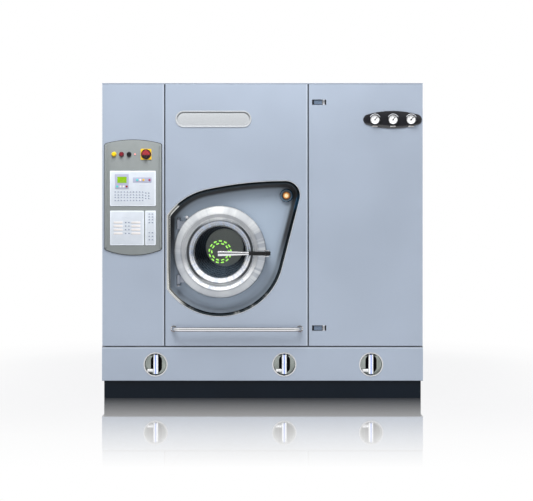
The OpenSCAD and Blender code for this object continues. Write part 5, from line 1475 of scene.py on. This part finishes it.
def hinge_pin_finish():
    """Dull pins and brackets, with studs beside and below them painted bright as a highlight and made less
    metallic so that they render white.
    """
    m = Mat("hinge_pin_steel")
    p = m.point()
    x, _, z = m.axes(p)
    # A painted highlight: the studs beside the pins and the parts below them are painted bright and made less
    # metallic.
    bright = x.step(HINGE[0] + 0.038, HINGE[0] + 0.040).most(1.0 - z.step(0.699, 0.703))
    marks = m.noise(p, 40.0)
    m.set("Base Color", m.mix(bright, m.mix(marks, (0.10, 0.11, 0.13), (0.20, 0.22, 0.25)),
                              m.mix(marks, (0.74, 0.75, 0.78), (0.90, 0.90, 0.92))))
    m.set("Metallic", 1.0 - bright * 0.55)
    m.set("Roughness", marks * 0.15 + 0.34 - bright * 0.22)
    m.bump(marks, 0.0003, 0.3)
    return m.data


def latch_cup_finish():
    """Black cups, each with a bright band painted towards its right end as a highlight."""
    m = Mat("latch_cup_black")
    p = m.point()
    x, _, _ = m.axes(p)
    # A painted highlight: a bright, slightly metallic band towards the right end of each cup.
    plate = x.between(0.3740, 0.3765, 0.3875, 0.3900)
    marks = m.noise(p, 120.0)
    m.set("Base Color", m.mix(plate, m.mix(marks, (0.010, 0.011, 0.013), (0.030, 0.034, 0.040)),
                              m.mix(marks, (0.70, 0.72, 0.76), (0.90, 0.92, 0.96))))
    m.set("Metallic", plate * 0.4)
    m.set("Roughness", marks * 0.12 + 0.28)
    return m.data


def dress(node, material, slot, bevel):
    """A CAD node's own shape with welded, smooth faces and round edges, in the node's place."""
    finish_piece(clean_copy(node, bevel), material, frame["nodes"][node]["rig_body"], slot, node)


LATCH_STEEL = brushed("latch_steel", (0.15, 0.20, 0.28), (1.0, 1.0, 12.0), 0.28, 0.35, metallic=0.35)
for material, slot, bevel, nodes in (
        (FRONT_PAINT, "paint", 0.0016, ("front_panel", "control_door", "service_door")),
        (BASE_PAINT, "paint", 0.0016, ("base_front_panel",)),
        (PAINT, "paint", 0.0016, ("left_side_panel", "right_side_panel", "top_panel", "rear_panel")),
        (PLINTH, "plinth_paint", 0.002, ("base_frame",)),
        (FRAME_PAINT, "frame_paint", 0.0, ("body_frame",)),
        (latch_cup_finish(), "black_plastic", 0.0006, ("latch_cups",)),
        (LATCH_STEEL, "polished", 0.0008, ("upper_latch", "lower_latch")),
        (hinge_pin_finish(), "polished", 0.001, ("hinge_pins",)),
        (ZINC, "galvanised", 0.0, ("spill_tray", "drying_duct", "fan_housing", "electrical_gear",
                                   "fan_impeller")),
        (STAINLESS, "stainless", 0.0, ("solvent_tanks", "tub_shell", "loading_collar", "still_vessel",
                                       "filter_vessels")),
        (STAINLESS, "polished", 0.0, ("service_connections",)),
        (IRON, "cast_iron", 0.0, ("bearing_housing", "drum_pulley", "motor_pulley")),
        (BLUE_PAINT, "machine_blue", 0.0, ("drive_motor", "solvent_pump")),
        (RUBBER, "rubber", 0.0, ("drive_belt",)),
        (BLACK, "gloss_black", 0.0, ("cooling_unit",)),
        (COPPER, "copper_pipe", 0.0, ("solvent_pipes",))):
    for node in nodes:
        dress(node, material, slot, bevel)


# ---- Floor, lights and camera ----------------------------------------------

WHITE = (1.0, 1.0, 1.0)
FLOOR_R = 14.0
TO_CAMERA = (0.05, -0.996, 0.05)
LAMP_AIM = (0.0, 0.0, 0.9)
# Each lamp's name, place, width and watts
LAMPS = (("key", (-0.5, -2.55, 4.3), 2.4, 222.0), ("side", (3.8, -2.6, 2.4), 2.6, 46.0),
         ("rear", (0.6, 4.2, 3.0), 3.4, 80.0))


def ray_kinds(m, *kinds):
    """For each kind of ray, 1 where such a ray meets the surface and 0 elsewhere."""
    path = m.new("ShaderNodeLightPath")
    return [Sock(m, path.outputs["Is %s Ray" % kind]) for kind in kinds]


def floor_material():
    """Pale floor, white to the camera, with a mirror gloss that dies away within 2 m of the machine."""
    m = Mat("studio_floor", Roughness=0.5, Base_Color=(0.50, 0.51, 0.53))
    x, y, _ = m.axes(m.point())
    dx, dy = (abs(x) - 1.0).most(0.0), (abs(y) - 0.66).most(0.0)
    away = (dx * dx + dy * dy).math("SQRT")
    gloss = (0.97 - away * 0.52).most(0.0)
    faded = (away * 0.22 + 0.74).math("MINIMUM", 1.0)
    seen, gleam, through = ray_kinds(m, "Camera", "Glossy", "Transmission")
    white = m.new("ShaderNodeEmission", {"Color": WHITE, "Strength": 1.0})
    mirror = m.new("ShaderNodeBsdfAnisotropic", {"Color": (0.97, 0.97, 0.98), "Roughness": 0.04})
    pale = m.new("ShaderNodeMixShader", {0: (seen + gleam + through) * faded, 1: Sock(m, m.shader.outputs[0]),
                                         2: Sock(m, white.outputs[0])})
    whole = m.new("ShaderNodeMixShader", {0: seen * gloss, 1: Sock(m, pale.outputs[0]),
                                          2: Sock(m, mirror.outputs[0])})
    m.feed(m.tree.nodes["Material Output"].inputs["Surface"], Sock(m, whole.outputs[0]))
    return m.data


def make_floor():
    """A wide flat disc under the machine."""
    a = np.linspace(0.0, 2 * math.pi, 64, endpoint=False)
    disc = np.column_stack([FLOOR_R * np.cos(a), FLOOR_R * np.sin(a), 0 * a])
    floor = make_mesh("floor", disc, [list(range(64))], smooth=False)
    floor.data.materials.append(floor_material())


def make_world():
    """White to the camera, mid grey as light, and pale in reflections but for a dark patch by the camera."""
    m = Mat("studio", bpy.data.worlds, "Background", Color=WHITE)
    way = Sock(m, m.new("ShaderNodeTexCoord").outputs["Generated"])
    aim = m.new("ShaderNodeVectorMath", {0: way, 1: TO_CAMERA}, operation="DOT_PRODUCT")
    reflected = 0.95 - Sock(m, aim.outputs["Value"]).step(0.88, 0.985) * 0.81
    seen, gleam = ray_kinds(m, "Camera", "Glossy")
    m.set("Strength", seen.most(gleam * (reflected - 0.50) + 0.50))
    bpy.context.scene.world = m.data


def make_lamp(name, place, size, watts):
    """A soft round lamp that faces the machine."""
    data = bpy.data.lights.new(name, "AREA")
    data.shape = "DISK"
    data.size = size
    data.energy = watts
    lamp = bpy.data.objects.new(name, data)
    lamp.location = place
    lamp.visible_glossy = False
    lamp.rotation_euler = (Vector(LAMP_AIM) - Vector(place)).to_track_quat("-Z", "Y").to_euler()
    bpy.context.collection.objects.link(lamp)


make_camera()
make_floor()
make_world()
for lamp in LAMPS:
    make_lamp(*lamp)
bpy.context.scene.view_settings.view_transform = "Standard"

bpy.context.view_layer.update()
